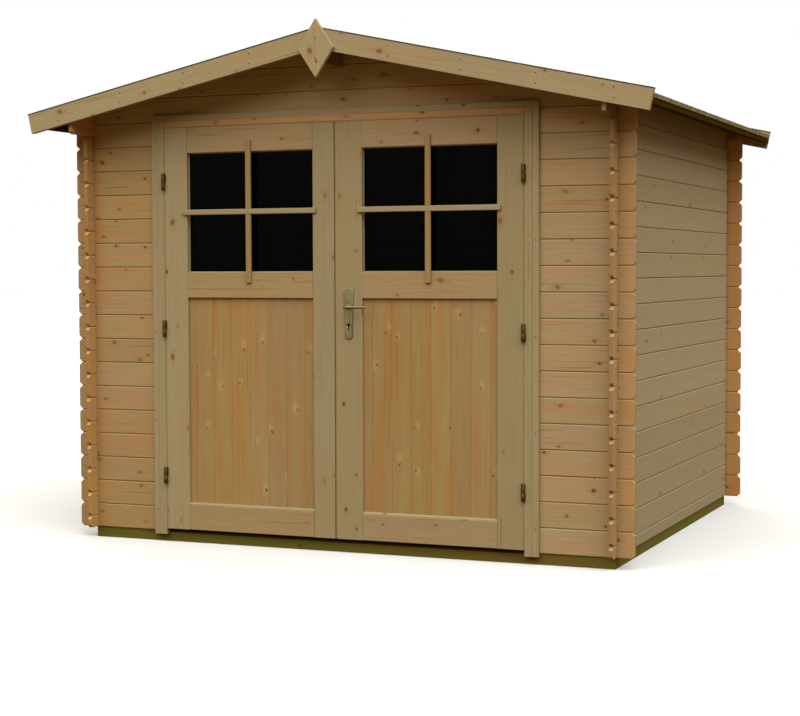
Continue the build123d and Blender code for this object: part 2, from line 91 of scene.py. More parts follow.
class Body(Enum):
    """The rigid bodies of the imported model."""

    SHED = "shed"
    LEFT_DOOR = "left_door"
    RIGHT_DOOR = "right_door"
    LEVER = "lever"


class Slot(Enum):
    """The record's material slots."""

    TREATED = "treated_wood"
    FLOOR = "floor_wood"
    LOG = "log_wood"
    ROOF = "roof_wood"
    BARGE = "barge_wood"
    FRAME = "frame_wood"
    PANEL = "panel_wood"
    GLASS = "glass"
    STEEL = "bronzed_steel"
    NICKEL = "satin_nickel"


class Axis(IntEnum):
    """Directions of the shared frame."""

    X = 0
    Y = 1
    Z = 2


def linear(colour: str) -> tuple[float, float, float, float]:
    """Turn an sRGB hex colour into linear light.

    Args:
        colour: Six hex digits, such as "a08050".

    Returns:
        Linear red, green and blue, with an alpha of one.
    """
    shares = [int(colour[i : i + 2], 16) / 255 for i in (0, 2, 4)]
    red, green, blue = (s / 12.92 if s <= 0.04045 else ((s + 0.055) / 1.055) ** 2.4 for s in shares)
    return red, green, blue, 1.0


def add_node(
    tree: NodeTree, kind: str, feeds: dict[int | str, Feed] | None = None, **settings: str
) -> Node:
    """Add one shader node.

    Args:
        tree: The node tree that gets it.
        kind: The node's type name, without its prefix.
        feeds: What each input takes: a node's first live output, a socket or a plain value.
        **settings: Other properties of the node.

    Returns:
        The new node.
    """
    node = tree.nodes.new(f"ShaderNode{kind}")
    for name, value in settings.items():
        setattr(node, name, value)
    for name, feed in (feeds or {}).items():
        if isinstance(feed, Node):
            feed = next(socket for socket in feed.outputs if socket.enabled)
        if isinstance(feed, NodeSocket):
            tree.links.new(feed, node.inputs[name])
        else:
            node.inputs[name].default_value = feed
    return node


@dataclass(frozen=True)
class Finish:
    """What a piece is made of."""

    name: str

    @cache
    def material(self) -> Material:
        """Build the material.

        Returns:
            The material, which is built on first use and then kept.
        """
        material = bpy.data.materials.new(self.name)
        material.use_nodes = True
        material.node_tree.nodes.clear()
        add = partial(add_node, material.node_tree)
        add("OutputMaterial", {0: self.surface(add)})
        return material

    def surface(self, add: Adder) -> Node:
        """Build the shader with a function that adds nodes. Each kind of finish has its own."""
        raise NotImplementedError


@dataclass(frozen=True)
class Wood(Finish):
    """A planed softwood. Its pattern follows the `grain` attribute of each board.

    The attribute is a place in metres along the board, across it and through it.
    """

    early: str
    late: str
    warm: str
    cool: str
    knot: str = "4a310f"
    halo: str = "8f602c"
    resin: str = "7d4a26"
    tip: str = "a47845"
    # A spruce grows about 3 mm a year. At 5 mm to a pixel that can't show, so the rings are
    # drawn some three times as wide.
    ring: float = 0.010
    ring_depth: float = 0.28
    resin_share: float = 0.5
    warmth: float = 0.45
    board_spread: float = 0.045
    hue_spread: float = 0.003
    knot_length: float = 0.24
    knot_width: float = 0.105
    knot_share: float = 0.75
    knot_least: float = 0.0042
    knot_most: float = 0.0125
    knot_palest: float = 0.4
    halo_share: float = 0.4
    halo_size: float = 2.6
    halo_shape: Point = (0.5, 1.0, 0.0)
    halo_shift: Point = (0.0, 0.0, 0.0)
    zone_span: float = 0.2
    # Log ends are stained from tip_start past the side wall, fully at tip_full, up to tip_last.
    tip_share: float = 0.0
    tip_start: float = 0.0
    tip_full: float = 0.015
    tip_last: float = 1.0
    end_tone: tuple[float, float, float, float] = (0.80, 0.74, 0.66, 1.0)
    roughness: float = 0.62
    shine: float = 0.18

    # Noise along the board: waves in a metre along, across and through it, and octaves.
    # Fibres are streaks of 140 by 2.4 mm, resin runs in veins of 450 by 10 mm, red and green
    # wood lies in zones of 600 by 55 mm, and the rings sway every 900 by 140 mm.
    FIBRE = ((7.0, 420.0, 420.0), 2.0)
    VEIN = ((2.2, 95.0, 95.0), 1.0)
    ZONE = ((1.6, 18.0, 18.0), 3.0)
    SWAY = ((1.1, 7.0, 7.0), 2.0)
    # Fine fibres darken and lighten the wood by a few per cent.
    FIBRE_TONE = {1: 0.3, 2: 0.7, 3: 0.94, 4: 1.05}
    # The rings sway and swerve round knots by so many metres, and darken toward the year's end.
    RING_SWAY, RING_SWERVE, RING_POWER = 0.045, 0.010, 2.2
    # Noise above the first level is reddish, below the second greenish.
    RED_LEVEL, GREEN_LEVEL = 0.5, 0.48
    # Resin streaks start at the first level and are full at the second.
    RESIN_LEVELS = (0.66, 0.76)
    # Knots lie in loose rows, and are a little longer than wide. Bark notches their edges every
    # 14 mm.
    KNOT_SCATTER, KNOT_SQUASH = 0.9, 0.8
    RAGGED_WAVES, RAGGED_DEPTH = 70.0, (0.020, 0.014, 0.0)
    # Shares of a knot's radius where it starts and is full, and where its heart does.
    KNOT_EDGE, KNOT_HEART = (1.3, 0.7), (0.75, 0.45)
    # How far a knot and its rim hide the wood's colour, and the share of the knot's radius where
    # the stain about it is full.
    KNOT_COVER, RIM_COVER, HALO_FULL = 0.85, 0.30, 0.4
    # A place without a knot has this radius, too small to show.
    NO_KNOT = 1e-5
    # The stain of a log end comes and goes over this length.
    TIP_FADE = 0.015
    # The middle of a noise's colour.
    CENTRE = (0.5, 0.5, 0.5)
    # Summer wood is harder, so it is smoother and stands a little proud.
    IOR, ROUGH_SPREAD, BUMP, BUMP_DEEP = 1.5, 0.06, 0.5, 0.0006

    def surface(self, add: Adder) -> Node:
        """Build the wood's shader.

        Args:
            add: Adds a node to the material.

        Returns:
            The shader node.
        """
        grain = add("Attribute", attribute_name="grain").outputs["Vector"]
        chance = add("Attribute", attribute_name="board").outputs["Vector"]
        luck = add("SeparateXYZ", {0: chance}).outputs
        core, rim, halo = self._knots(add, grain)
        rings = self._rings(add, grain, halo)
        fibre = self._streaks(add, grain, *self.FIBRE)
        tint = {"Color": self._colour(add, grain, rings, fibre)}
        # A hue of a half and a saturation and value of one leave a board as it is.
        for name, roll, middle, spread in (
            ("Hue", luck[1], 0.5, self.hue_spread),
            ("Saturation", luck[2], 1.0, self.board_spread),
            ("Value", luck[0], 1.0, self.board_spread),
        ):
            tint[name] = add("MapRange", {0: roll, 3: middle - spread, 4: middle + spread})
        colour = add("HueSaturation", tint)
        for mask, share, tone in (
            (halo, self.halo_share, self.halo),
            (core, self.KNOT_COVER, self.knot),
            (rim, self.RIM_COVER, self.knot),
        ):
            amount = add("Math", {0: mask, 1: share}, operation="MULTIPLY")
            colour = add("Mix", {"Factor": amount, 6: colour, 7: linear(tone)}, data_type="RGBA")
        ends = add("Attribute", attribute_name="end_grain").outputs["Fac"]
        sawn = {"Factor": ends, 6: colour, 7: self.end_tone}
        cut = add("Mix", sawn, data_type="RGBA", blend_type="MULTIPLY")
        height = add("Math", {0: rings, 1: fibre}, operation="ADD")
        height = add("Math", {0: height, 1: rim}, operation="SUBTRACT")
        relief = {"Strength": self.BUMP, "Distance": self.BUMP_DEEP, "Height": height}
        dull, fine = self.roughness + self.ROUGH_SPREAD, self.roughness - self.ROUGH_SPREAD
        return add(
            "BsdfPrincipled",
            {
                "Base Color": cut,
                "Roughness": add("MapRange", {0: rings, 3: dull, 4: fine}),
                "IOR": self.IOR,
                "Specular IOR Level": self.shine,
                "Normal": add("Bump", relief),
            },
        )

    @staticmethod
    def _streaks(add: Adder, grain: Feed, per_metre: Point, detail: float) -> Node:
        """Lay noise of about 0 to 1 along the board, with so many waves in a metre."""
        scaled = add("VectorMath", {0: grain, 1: per_metre}, operation="MULTIPLY")
        return add("TexNoise", {"Vector": scaled, "Scale": 1.0, "Detail": detail})

    def _knots(self, add: Adder, grain: Feed) -> tuple[Node, Node, Node]:
        """Scatter round branch knots over the board's face.

        Args:
            add: Adds a node to the material.
            grain: The board's own coordinates.

        Returns:
            Masks of the knot, of its dark rim and of the stained wood about it.
        """
        cell = (1 / self.knot_length, 1 / self.knot_width, 0.0)
        span = (self.knot_length * self.KNOT_SQUASH, self.knot_width, 0.0)
        ragged = add("TexNoise", {"Vector": grain, "Scale": self.RAGGED_WAVES, "Detail": 2.0})
        shift = add("VectorMath", {0: ragged.outputs["Color"], 1: self.CENTRE}, operation="SUBTRACT")
        bent = add("VectorMath", {0: shift, 1: self.RAGGED_DEPTH, 2: grain}, operation="MULTIPLY_ADD")
        place = add("VectorMath", {0: bent, 1: cell}, operation="MULTIPLY")
        spread = {"Vector": place, "Scale": 1.0, "Randomness": self.KNOT_SCATTER}
        scatter = add("TexVoronoi", spread, voronoi_dimensions="2D").outputs
        away = add("VectorMath", {0: place, 1: scatter["Position"]}, operation="SUBTRACT")
        metres = add("VectorMath", {0: away, 1: span}, operation="MULTIPLY")
        reach = add("VectorMath", {0: metres}, operation="LENGTH")
        dice = add("SeparateColor", {0: scatter["Color"]}).outputs
        there = add("Math", {0: dice[0], 1: self.knot_share}, operation="LESS_THAN")
        # Squaring the dice makes small knots the common ones.
        skew = add("Math", {0: dice[1], 1: 2.0}, operation="POWER")
        size = add("MapRange", {0: skew, 3: self.knot_least, 4: self.knot_most})
        radius = add("Math", {0: size, 1: there}, operation="MULTIPLY")
        radius = add("Math", {0: radius, 1: self.NO_KNOT}, operation="MAXIMUM")
        share = add("Math", {0: reach, 1: radius}, operation="DIVIDE")
        # Live knots have grown into the wood and stay pale. Dead ones are dark.
        depth = add("MapRange", {0: dice[2], 3: self.knot_palest, 4: 1.0})
        core, heart = (
            add("MapRange", {0: share, 1: start, 2: full, 4: depth}, interpolation_type="SMOOTHSTEP")
            for start, full in (self.KNOT_EDGE, self.KNOT_HEART)
        )
        rim = add("Math", {0: core, 1: heart}, operation="SUBTRACT")
        # The stain runs along the grain, and on some woods lies beside the knot.
        aside = add("VectorMath", {0: scatter["Color"], 1: self.CENTRE}, operation="SUBTRACT")
        flame = add("VectorMath", {0: aside, 1: self.halo_shift, 2: metres}, operation="MULTIPLY_ADD")
        flame = add("VectorMath", {0: flame, 1: self.halo_shape}, operation="MULTIPLY")
        flame = add("VectorMath", {0: flame}, operation="LENGTH")
        flame = add("Math", {0: flame, 1: radius}, operation="DIVIDE")
        limits = {0: flame, 1: self.halo_size, 2: self.HALO_FULL}
        return core, rim, add("MapRange", limits, interpolation_type="SMOOTHSTEP")

    def _rings(self, add: Adder, grain: Feed, halo: Feed) -> Node:
        """Cut the growth rings of a log lengthwise.

        Args:
            add: Adds a node to the material.
            grain: The board's own coordinates, measured from the middle of the log.
            halo: Where the rings swerve round a knot.

        Returns:
            The share of dark summer wood, 0 to 1.
        """
        flat = add("VectorMath", {0: grain, 1: (0.0, 1.0, 1.0)}, operation="MULTIPLY")
        radius = add("VectorMath", {0: flat}, operation="LENGTH")
        sway = self._streaks(add, grain, *self.SWAY)
        bent = add("Math", {0: sway, 1: self.RING_SWAY, 2: radius}, operation="MULTIPLY_ADD")
        bent = add("Math", {0: halo, 1: self.RING_SWERVE, 2: bent}, operation="MULTIPLY_ADD")
        years = add("Math", {0: bent, 1: 1 / self.ring}, operation="MULTIPLY")
        season = add("Math", {0: years}, operation="FRACT")
        return add("Math", {0: season, 1: self.RING_POWER}, operation="POWER")

    def _colour(self, add: Adder, grain: Feed, rings: Feed, fibre: Feed) -> Node:
        """Mix the clear wood's colour.

        Args:
            add: Adds a node to the material.
            grain: The board's own coordinates.
            rings: The share of summer wood.
            fibre: Fine noise along the grain.

        Returns:
            The colour of the wood between its knots.
        """
        zone = self._streaks(add, grain, *self.ZONE)
        vein = self._streaks(add, grain, *self.VEIN)
        red, green = (self.RED_LEVEL, self.zone_span), (self.GREEN_LEVEL, -self.zone_span)
        warmed, cooled = (
            add("MapRange", {0: zone, 1: level, 2: level + span, 4: self.warmth})
            for level, span in (red, green)
        )
        start, full = self.RESIN_LEVELS
        colour: Feed = linear(self.early)
        for share, tone in (
            (add("Math", {0: rings, 1: self.ring_depth}, operation="MULTIPLY"), self.late),
            (warmed, self.warm),
            (cooled, self.cool),
            (add("MapRange", {0: vein, 1: start, 2: full, 4: self.resin_share}), self.resin),
            (self._tips(add), self.tip),
        ):
            colour = add("Mix", {"Factor": share, 6: colour, 7: linear(tone)}, data_type="RGBA")
        grey = add("MapRange", {0: fibre, **self.FIBRE_TONE})
        return add("VectorMath", {0: colour, "Scale": grey}, operation="SCALE")

    def _tips(self, add: Adder) -> Feed:
        """Find the log ends past the corners, where the open grain has soaked up oil.

        Args:
            add: Adds a node to the material.

        Returns:
            How far the ends are stained, up to the wood's tip share.
        """
        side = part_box("right_wall")[1].x
        front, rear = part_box("front_wall_left")[0].y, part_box("rear_wall")[1].y
        axes = add("SeparateXYZ", {0: add("TexCoord").outputs["Object"]}).outputs
        out = add("Math", {0: axes[0]}, operation="ABSOLUTE")
        last = side + self.tip_last
        most = add("MapRange", {0: out, 1: last, 2: last + self.TIP_FADE, 3: self.tip_share, 4: 0.0})
        stain: Feed = 0.0
        for place, start, full, share in (
            (out, side + self.tip_start, side + self.tip_full, most),
            (axes[1], front, front - self.TIP_FADE, self.tip_share),
            (axes[1], rear, rear + self.TIP_FADE, self.tip_share),
        ):
            past = add("MapRange", {0: place, 1: start, 2: full, 4: share})
            stain = add("Math", {0: stain, 1: past}, operation="MAXIMUM")
        return stain


@dataclass(frozen=True)
class Metal(Finish):
    """A metal with a finely stained skin."""

    colour: str
    worn: str
    roughness: float

    # The stains are about 2 cm wide, and barely raised.
    STAIN_SIZE, STAIN_DETAIL = 0.02, 4.0
    STAIN_LEVELS = {1: 0.3, 2: 0.7}
    SMOOTHER, ROUGHER = 0.06, 0.08
    BUMP, BUMP_DEEP = 0.2, 0.0002

    def surface(self, add: Adder) -> Node:
        """Build the metal's shader.

        Args:
            add: Adds a node to the material.

        Returns:
            The shader node.
        """
        place = add("TexCoord").outputs["Object"]
        noise = {"Vector": place, "Scale": 1 / self.STAIN_SIZE, "Detail": self.STAIN_DETAIL}
        stain = add("TexNoise", noise)
        tones = {"Factor": stain, 6: linear(self.colour), 7: linear(self.worn)}
        limits = {3: self.roughness - self.SMOOTHER, 4: self.roughness + self.ROUGHER}
        relief = {"Strength": self.BUMP, "Distance": self.BUMP_DEEP, "Height": stain}
        return add(
            "BsdfPrincipled",
            {
                "Base Color": add("Mix", tones, data_type="RGBA"),
                "Metallic": 1.0,
                "Roughness": add("MapRange", {0: stain, **self.STAIN_LEVELS, **limits}),
                "Normal": add("Bump", relief),
            },
        )


@dataclass(frozen=True)
class Glass(Finish):
    """A clear sheet that mostly shows the dark room behind it."""

    tint: str
    ior: float
    roughness: float

    def surface(self, add: Adder) -> Node:
        """Build the glass's shader."""
        look = {"Roughness": self.roughness, "IOR": self.ior, "Transmission Weight": 1.0}
        return add("BsdfPrincipled", {"Base Color": linear(self.tint), **look})


@dataclass(frozen=True)
class Felt(Finish):
    """A bitumen sheet bedded with stone chips."""

    sheet: str
    chips: str

    # The chips are about 2 mm. At 5 mm to a pixel they can't show, so they are drawn at 7 mm.
    CHIP_SIZE, CHIP_DETAIL = 0.007, 3.0
    # Noise past these levels is a chip.
    CHIP_LEVELS = {1: 0.42, 2: 0.68}
    BUMP, BUMP_DEEP = 0.7, 0.0015
    ROUGHNESS, SHINE = 0.9, 0.03

    def surface(self, add: Adder) -> Node:
        """Build the felt's shader.

        Args:
            add: Adds a node to the material.

        Returns:
            The shader node.
        """
        place = add("TexCoord").outputs["Object"]
        noise = {"Vector": place, "Scale": 1 / self.CHIP_SIZE, "Detail": self.CHIP_DETAIL}
        chips = add("TexNoise", noise)
        cover = add("MapRange", {0: chips, **self.CHIP_LEVELS})
        tones = {"Factor": cover, 6: linear(self.sheet), 7: linear(self.chips)}
        relief = {"Strength": self.BUMP, "Distance": self.BUMP_DEEP, "Height": chips}
        return add(
            "BsdfPrincipled",
            {
                "Base Color": add("Mix", tones, data_type="RGBA"),
                "Roughness": self.ROUGHNESS,
                "Specular IOR Level": self.SHINE,
                "Normal": add("Bump", relief),
            },
        )


@dataclass(frozen=True)
class FloorPaint(Finish):
    """A matt paint that looks pale, and gives little light back to the shed."""

    seen: str
    bounce: str

    def surface(self, add: Adder) -> Node:
        """Build the paint's shader."""
        bounce, seen = (add("BsdfDiffuse", {"Color": linear(c)}) for c in (self.bounce, self.seen))
        return add("MixShader", {"Fac": add("LightPath").outputs["Is Camera Ray"], 1: bounce, 2: seen})


class Stock(Enum):
    """The finishes on hand."""

    # Planed spruce straight from the mill: pale straw with pinkish and greenish streaks.
    LOG = Wood(
        "planed_spruce_logs", "987f58", "84633a", "a0764a", "908052", tip="ad7c46",
        warmth=0.55, zone_span=0.16, knot_length=0.19, knot_share=0.65, knot_least=0.0048,
        knot_most=0.0095, tip_share=0.6, tip_start=-0.09, tip_full=-0.018, tip_last=-0.006,
    )
    # The logs right of the doors are painted paler and cooler, as painted light: cooler light falls on
    # that side than on the left logs and gables.
    PALE_LOG = replace(
        LOG, name="cool_lit_spruce_logs", early="9b8663", late="876942", warm="a37c53",
        cool="93875c", tip="a47845", tip_share=0.5, tip_start=-0.06, tip_full=0.015, tip_last=1.0,
    )
    # Logs under the eaves are painted darker, as painted shade of the eaves, and their cut ends are
    # multiplied back up to a pale lit tone.
    EAVE_LOG = Wood(
        "painted_shade_spruce_logs", "776540", "674e29", "7c5c35", "70643b",
        knot_share=0.5, end_tone=(1.7, 1.7, 1.9, 1.0),
    )
    # Ends of the rear wall and the left eave log are stained orange with oil, and part of that orange
    # is painted warm light in their shade.
    REAR_LOG = replace(
        LOG, name="oil_and_warm_shade_spruce_logs", tip="bc8954",
        tip_share=0.85, tip_start=0.0, tip_full=0.015, tip_last=1.0,
    )
    # Side logs are the same spruce from the clear upper trunk, with hardly a knot.
    SIDE_LOG = Wood(
        "clear_spruce_logs", "95876a", "877351", "998060", "8f8867", ring_depth=0.2,
        resin_share=0.15, warmth=0.4, knot_share=0.2, knot_most=0.008, tip_share=0.5, shine=0.02,
    )
    # The left logs drank the oil at their ends, and are orange there, partly as painted warm light in
    # their shade. Their end faces are painted darker, as painted shade.
    OIL_AND_SHADE_LOG = replace(
        SIDE_LOG, name="oil_and_shade_spruce_logs", tip="b48b53", tip_share=0.9,
        end_tone=(0.68, 0.68, 0.74, 1.0),
    )
    # Roof boards are a dark olive, and their cut ends are near black.
    ROOF = Wood(
        "dark_spruce_roof_boards", "5e4f28", "4c3d1a", "624c26", "594e28",
        shine=0.0, end_tone=(0.28, 0.22, 0.09, 1.0),
    )
    # Eave battens and the strip under the doors are near black, as painted shade under the roof edge
    # and in the doors' shadow, and don't shine.
    SHADE_BLACK = Wood(
        "shade_black_spruce", "3a2c0c", "2a1f07", "3c290c", "332c0d",
        resin="2a1f07", knot_share=0.0, shine=0.0,
    )
    # Bargeboards and finial are paler, and a little greyed by the weather.
    BARGE = Wood("planed_spruce_bargeboards", "958663", "836b45", "997c57", "8e855d")
    # Joiner's spruce for the doors is chosen clear, with few knots and a grey cast.
    FRAME = Wood(
        "joinery_spruce", "8f815e", "7f6944", "947a55", "897f58", ring_depth=0.2,
        resin_share=0.35, warmth=0.4, knot_share=0.5, knot_least=0.0048, knot_most=0.0112,
    )
    # The rails are cut nearer the heart of the log, and are warmer.
    RAIL = Wood("joinery_spruce_heart", "947e5a", "816640", "997752", "8d7c55", knot_share=0.6)
    # Pine matchboard is redder than spruce, and pales round its knots.
    PANEL = Wood(
        "pine_matchboard", "91754a", "815e2e", "956c3d", "8e7c4d", halo="ae9362",
        halo_size=4.2, halo_shape=(0.75, 1.0, 0.0), halo_shift=(0.05, 0.036, 0.0), ring_depth=0.18,
        warmth=0.65, zone_span=0.12, board_spread=0.04, knot_share=0.55, knot_least=0.0045,
        knot_most=0.0075,
    )
    # Floor spruce never sees the sun, so it stays pale.
    FLOOR = Wood("spruce_floor_boards", "a28a63", "8b6a42", "a27c55", "99885e")
    # Pressure-treated pine takes up copper salts, which leave it olive.
    TREATED = Wood(
        "pressure_treated_pine", "5e5412", "42390a", "624b13", "4e540f", knot="2e200a",
        halo="463612", resin="43300f", warmth=0.9, zone_span=0.12, roughness=0.7,
    )
    # Bronzed steel is dark brown oxide, too rough to mirror.
    BRONZED = Metal("bronzed_steel", "3d2b10", "54401c", 0.62)
    # Satin nickel is a warm grey with a broad soft shine.
    NICKEL = Metal("satin_nickel", "756f4f", "867f5c", 0.40)
    # The lever is nickel painted darker and browner than the plates, as painted shade that tones down
    # its lit top and darkens its underside.
    SHADE_DARK_NICKEL = Metal("shade_dark_nickel", "6a5f3e", "7a6c48", 0.52)
    # The cylinder is near-black oiled steel, and its darkness is partly painted shade of the keyhole.
    LOCK_STEEL = Metal("oiled_steel_and_keyhole_shade", "1c1812", "2b251b", 0.7)
    # Nails rust brown within a season.
    NAIL = Metal("rusting_nail", "41301d", "5b452b", 0.6)
    # Float glass before an unlit room reads as near black. Its dark brown tint is painted shade of that
    # room, and it mirrors less than real glass.
    FLOAT_GLASS = Glass("float_glass", "4c443a", 1.1, 0.02)
    # Bitumen felt carries olive stone chips in a black sheet, and is dirty with age.
    FELT = Felt("chipped_bitumen_felt", "2f2a1f", "625a47")
    # Rain has washed the eave strip pale.
    WASHED_FELT = Felt("washed_bitumen_felt", "4a3f28", "a3946a")
    # The floor is painted a pale grey that shows as white under the lamps.
    STUDIO_FLOOR = FloorPaint("studio_floor_paint", "d2d2d2", "765f40")


@dataclass(frozen=True)
class Place:
    """Where a piece belongs: its slot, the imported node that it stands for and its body."""

    slot: Slot
    node: str | None = None
    body: Body = Body.SHED


def show_shape(name: str, made: BMesh, finish: Stock, place: Place, rounded: bool = False) -> Object:
    """Show a shape as one piece of the shed.

    Args:
        name: The piece's name.
        made: Its shape in the shared frame, which is used up.
        finish: What it is made of.
        place: Where it belongs.
        rounded: Whether it is shaded smooth, save where it turns sharply.

    Returns:
        The new object.
    """
    mesh = bpy.data.meshes.new(name)
    made.to_mesh(mesh)
    made.free()
    if rounded:
        mesh.shade_smooth()
        mesh.set_sharp_from_angle(angle=ROUND_ANGLE)
    mesh.materials.append(finish.value.material())
    piece = bpy.data.objects.new(name, mesh)
    bpy.context.scene.collection.objects.link(piece)
    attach(piece, place.body.value)
    if place.node:
        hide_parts(place.node)
    LOGGER.info("%s: %d faces", name, len(mesh.polygons))
    return piece


def take_solids(made: BMesh, node: str) -> None:
    """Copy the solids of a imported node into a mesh, and weld their corners."""
    made.from_mesh(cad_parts[node].data)
    bmesh.ops.remove_doubles(made, verts=made.verts, dist=WELD_DISTANCE)


def show_solids(name: str, finish: Stock, place: Place) -> Object:
    """Show metal or glass solids with smooth rounds.

    Args:
        name: The piece's name.
        finish: What it is made of.
        place: Where it belongs. Its node gives the shape.

    Returns:
        The new object.
    """
    made = bmesh.new()
    take_solids(made, place.node)
    return show_shape(name, made, finish, place, rounded=True)


def add_skin(made: BMesh, rings: Sequence[Sequence[Point]]) -> None:
    """Skin a row of closed outlines and cap both ends.

    Args:
        made: The mesh that gets the solid.
        rings: The outlines, each with the same number of corners.
    """
    loops = [[made.verts.new(corner) for corner in ring] for ring in rings]
    faces = [made.faces.new(loops[0]), made.faces.new(loops[-1][::-1])]
    for low, high in zip(loops, loops[1:]):
        for i, corner in enumerate(low):
            after = (i + 1) % len(low)
            faces.append(made.faces.new((corner, high[i], high[after], low[after])))
    bmesh.ops.recalc_face_normals(made, faces=faces)


def sweep(made: BMesh, outline: Sequence[Pair], axis: Axis, ends: Pair) -> None:
    """Sweep an outline, drawn on the other two axes, along an axis from end to end."""
    add_skin(made, [[(*p[:axis], end, *p[axis:]) for p in outline] for end in ends])


def turns(sides: int) -> list[float]:
    """Divide a full turn into equal angles."""
    return [math.tau * i / sides for i in range(sides)]


def add_turning(
    made: BMesh, profile: Sequence[Pair], foot: Point, outward: float, sides: int
) -> None:
    """Turn a profile about an axis along Y, from its foot to its closed tip.

    Args:
        made: The mesh that gets the solid.
        profile: Radius and height of each step.
        foot: Where the axis starts.
        outward: The axis's direction along Y, 1 or -1.
        sides: Corners of the round.
    """
    x, y, z = foot
    rings = [
        [(x + r * math.cos(a), y + outward * h, z + r * math.sin(a)) for a in turns(sides)]
        for r, h in profile
    ]
    add_skin(made, rings)


@dataclass
class Timber:
    """Boards of one wooden piece. Each gets eased edges and a grain of its own."""

    name: str
    finish: Stock
    place: Place
    seed: int
    # How far a board may sit off true.
    stray: float = 0.0
    # Direction of the grain, or None for each board's longest edge.
    along: Vector | None = None

    # Sharp edges are eased by this much, as sandpaper leaves them.
    ARRIS = 0.0009
    # The middle of the log lies this far behind a board's face, and up to this far aside.
    PITH_LEAST, PITH_MOST, PITH_SIDE = 0.015, 0.06, 0.05
    # Boards start anywhere on a log far longer than the shed, so that no two look alike.
    FAR_ALONG = 60.0
    # Multiples of `stray` that a board may slip along its length and through its thickness.
    SLIP_ALONG, SLIP_THROUGH = 2.0, 0.7
    # A face that looks along the board by less than the first is a side, past the second an end.
    SIDE_COSINE, END_COSINE = 0.3, 0.8
    # No board lies square to this direction, so it settles which way a width points.
    WIDTH_SENSE = Vector((1.0, 2.0, 3.0))

    def __post_init__(self) -> None:
        """Start an empty stack."""
        self.made = bmesh.new()

    def take(self) -> "Timber":
        """Add the solids that the piece stands for, with whole flat faces.

        Returns:
            This stack.
        """
        take_solids(self.made, self.place.node)
        whole = {"verts": self.made.verts, "edges": self.made.edges}
        bmesh.ops.dissolve_limit(self.made, angle_limit=FLAT_ANGLE, **whole)
        return self

    def show(self) -> None:
        """Ease the edges, lay the grain and show the piece."""
        edges = [e for e in self.made.edges if len(e.link_faces) == 2]
        sharp = [e for e in edges if e.calc_face_angle(0.0) > SHARP_ANGLE]
        chamfer = {"offset": self.ARRIS, "segments": 1, "profile": 0.5, "clamp_overlap": True}
        bmesh.ops.bevel(self.made, geom=sharp, affect="EDGES", **chamfer)
        self._lay_grain()
        show_shape(self.name, self.made, self.finish, self.place)

    def _boards(self) -> Iterator[list[BMFace]]:
        """Part the mesh into its loose boards.

        Yields:
            The faces of each board.
        """
        self.made.faces.index_update()
        loose = dict.fromkeys(self.made.faces)
        while loose:
            queue = [next(iter(loose))]
            del loose[queue[0]]
            board = []
            while queue:
                board.append(queue.pop())
                for face in (f for edge in board[-1].edges for f in edge.link_faces):
                    if face in loose:
                        del loose[face]
                        queue.append(face)
            yield board

    def _axes(self, board: list[BMFace]) -> tuple[Vector, Vector, Vector]:
        """Find how a board lies.

        Args:
            board: Its faces.

        Returns:
            Directions of its length, width and thickness.
        """
        length = self.along
        if length is None:
            # Lengths and areas are rounded, so that equal ones always give the first.
            edges = (edge for face in board for edge in face.edges)
            ends = max(edges, key=lambda e: round(e.calc_length(), 4)).verts
            length = (ends[1].co - ends[0].co).normalized()
        sides = [f for f in board if abs(f.normal.dot(length)) < self.SIDE_COSINE]
        broad = max(sides, key=lambda f: (round(f.calc_area(), 5), -f.index))
        width = broad.normal.cross(length).normalized()
        if width.dot(self.WIDTH_SENSE) < 0.0:
            width.negate()
        return length, width, length.cross(width)

    def _lay_grain(self) -> None:
        """Give every board its grain, its chance numbers and its end marks."""
        grain = self.made.loops.layers.float_vector.new("grain")
        chance = self.made.verts.layers.float_vector.new("board")
        ends = self.made.faces.layers.float.new("end_grain")
        dice = random.Random(self.seed)
        for board in list(self._boards()):
            length, width, depth = self._axes(board)
            corners = list(dict.fromkeys(v for face in board for v in face.verts))
            middle = sum((v.co for v in corners), Vector()) / len(corners)
            turn = dice.choice((-1.0, 1.0))
            far = dice.uniform(0.0, self.FAR_ALONG)
            aside = dice.uniform(-self.PITH_SIDE, self.PITH_SIDE)
            start = Vector((far, aside, dice.uniform(self.PITH_LEAST, self.PITH_MOST)))
            tone = Vector((dice.random(), dice.random(), dice.random()))
            slip = length * dice.uniform(-self.SLIP_ALONG, self.SLIP_ALONG)
            slip += depth * dice.uniform(-self.SLIP_THROUGH, self.SLIP_THROUGH)
            for face in board:
                face[ends] = float(abs(face.normal.dot(length)) > self.END_COSINE)
                # An edge swaps width and thickness, so that knots are round there too.
                edge = abs(face.normal.dot(width)) > abs(face.normal.dot(depth))
                across, through = (depth, width) if edge else (width, depth)
                for loop in face.loops:
                    off = loop.vert.co - middle
                    spot = (off.dot(length), off.dot(across), turn * off.dot(through))
                    loop[grain] = start + Vector(spot)
            for corner in corners:
                corner[chance] = tone
                corner.co += slip * self.stray


@dataclass(frozen=True)
class Fixing:
    """A nail or screw head, slightly domed."""

    radius: float
    rise: float
    finish: Stock = Stock.NAIL
    slot: Slot = Slot.STEEL

    # Shares of the radius and of the rise at each step of the dome.
    DOME = ((1.0, -1.0), (1.0, 0.4), (0.8, 0.85), (0.3, 1.0))
    SIDES = 12

    def show(self, name: str, spots: Sequence[Point], body: Body, outward: float = -1.0) -> None:
        """Set a row of heads.

        Args:
            name: The piece's name.
            spots: Where the heads sit on the surface.
            body: The body that they hold to.
            outward: The surface's direction along Y, 1 or -1.
        """
        made = bmesh.new()
        profile = [(self.radius * wide, self.rise * high) for wide, high in self.DOME]
        for spot in spots:
            add_turning(made, profile, spot, outward, self.SIDES)
        show_shape(name, made, self.finish, Place(self.slot, body=body))


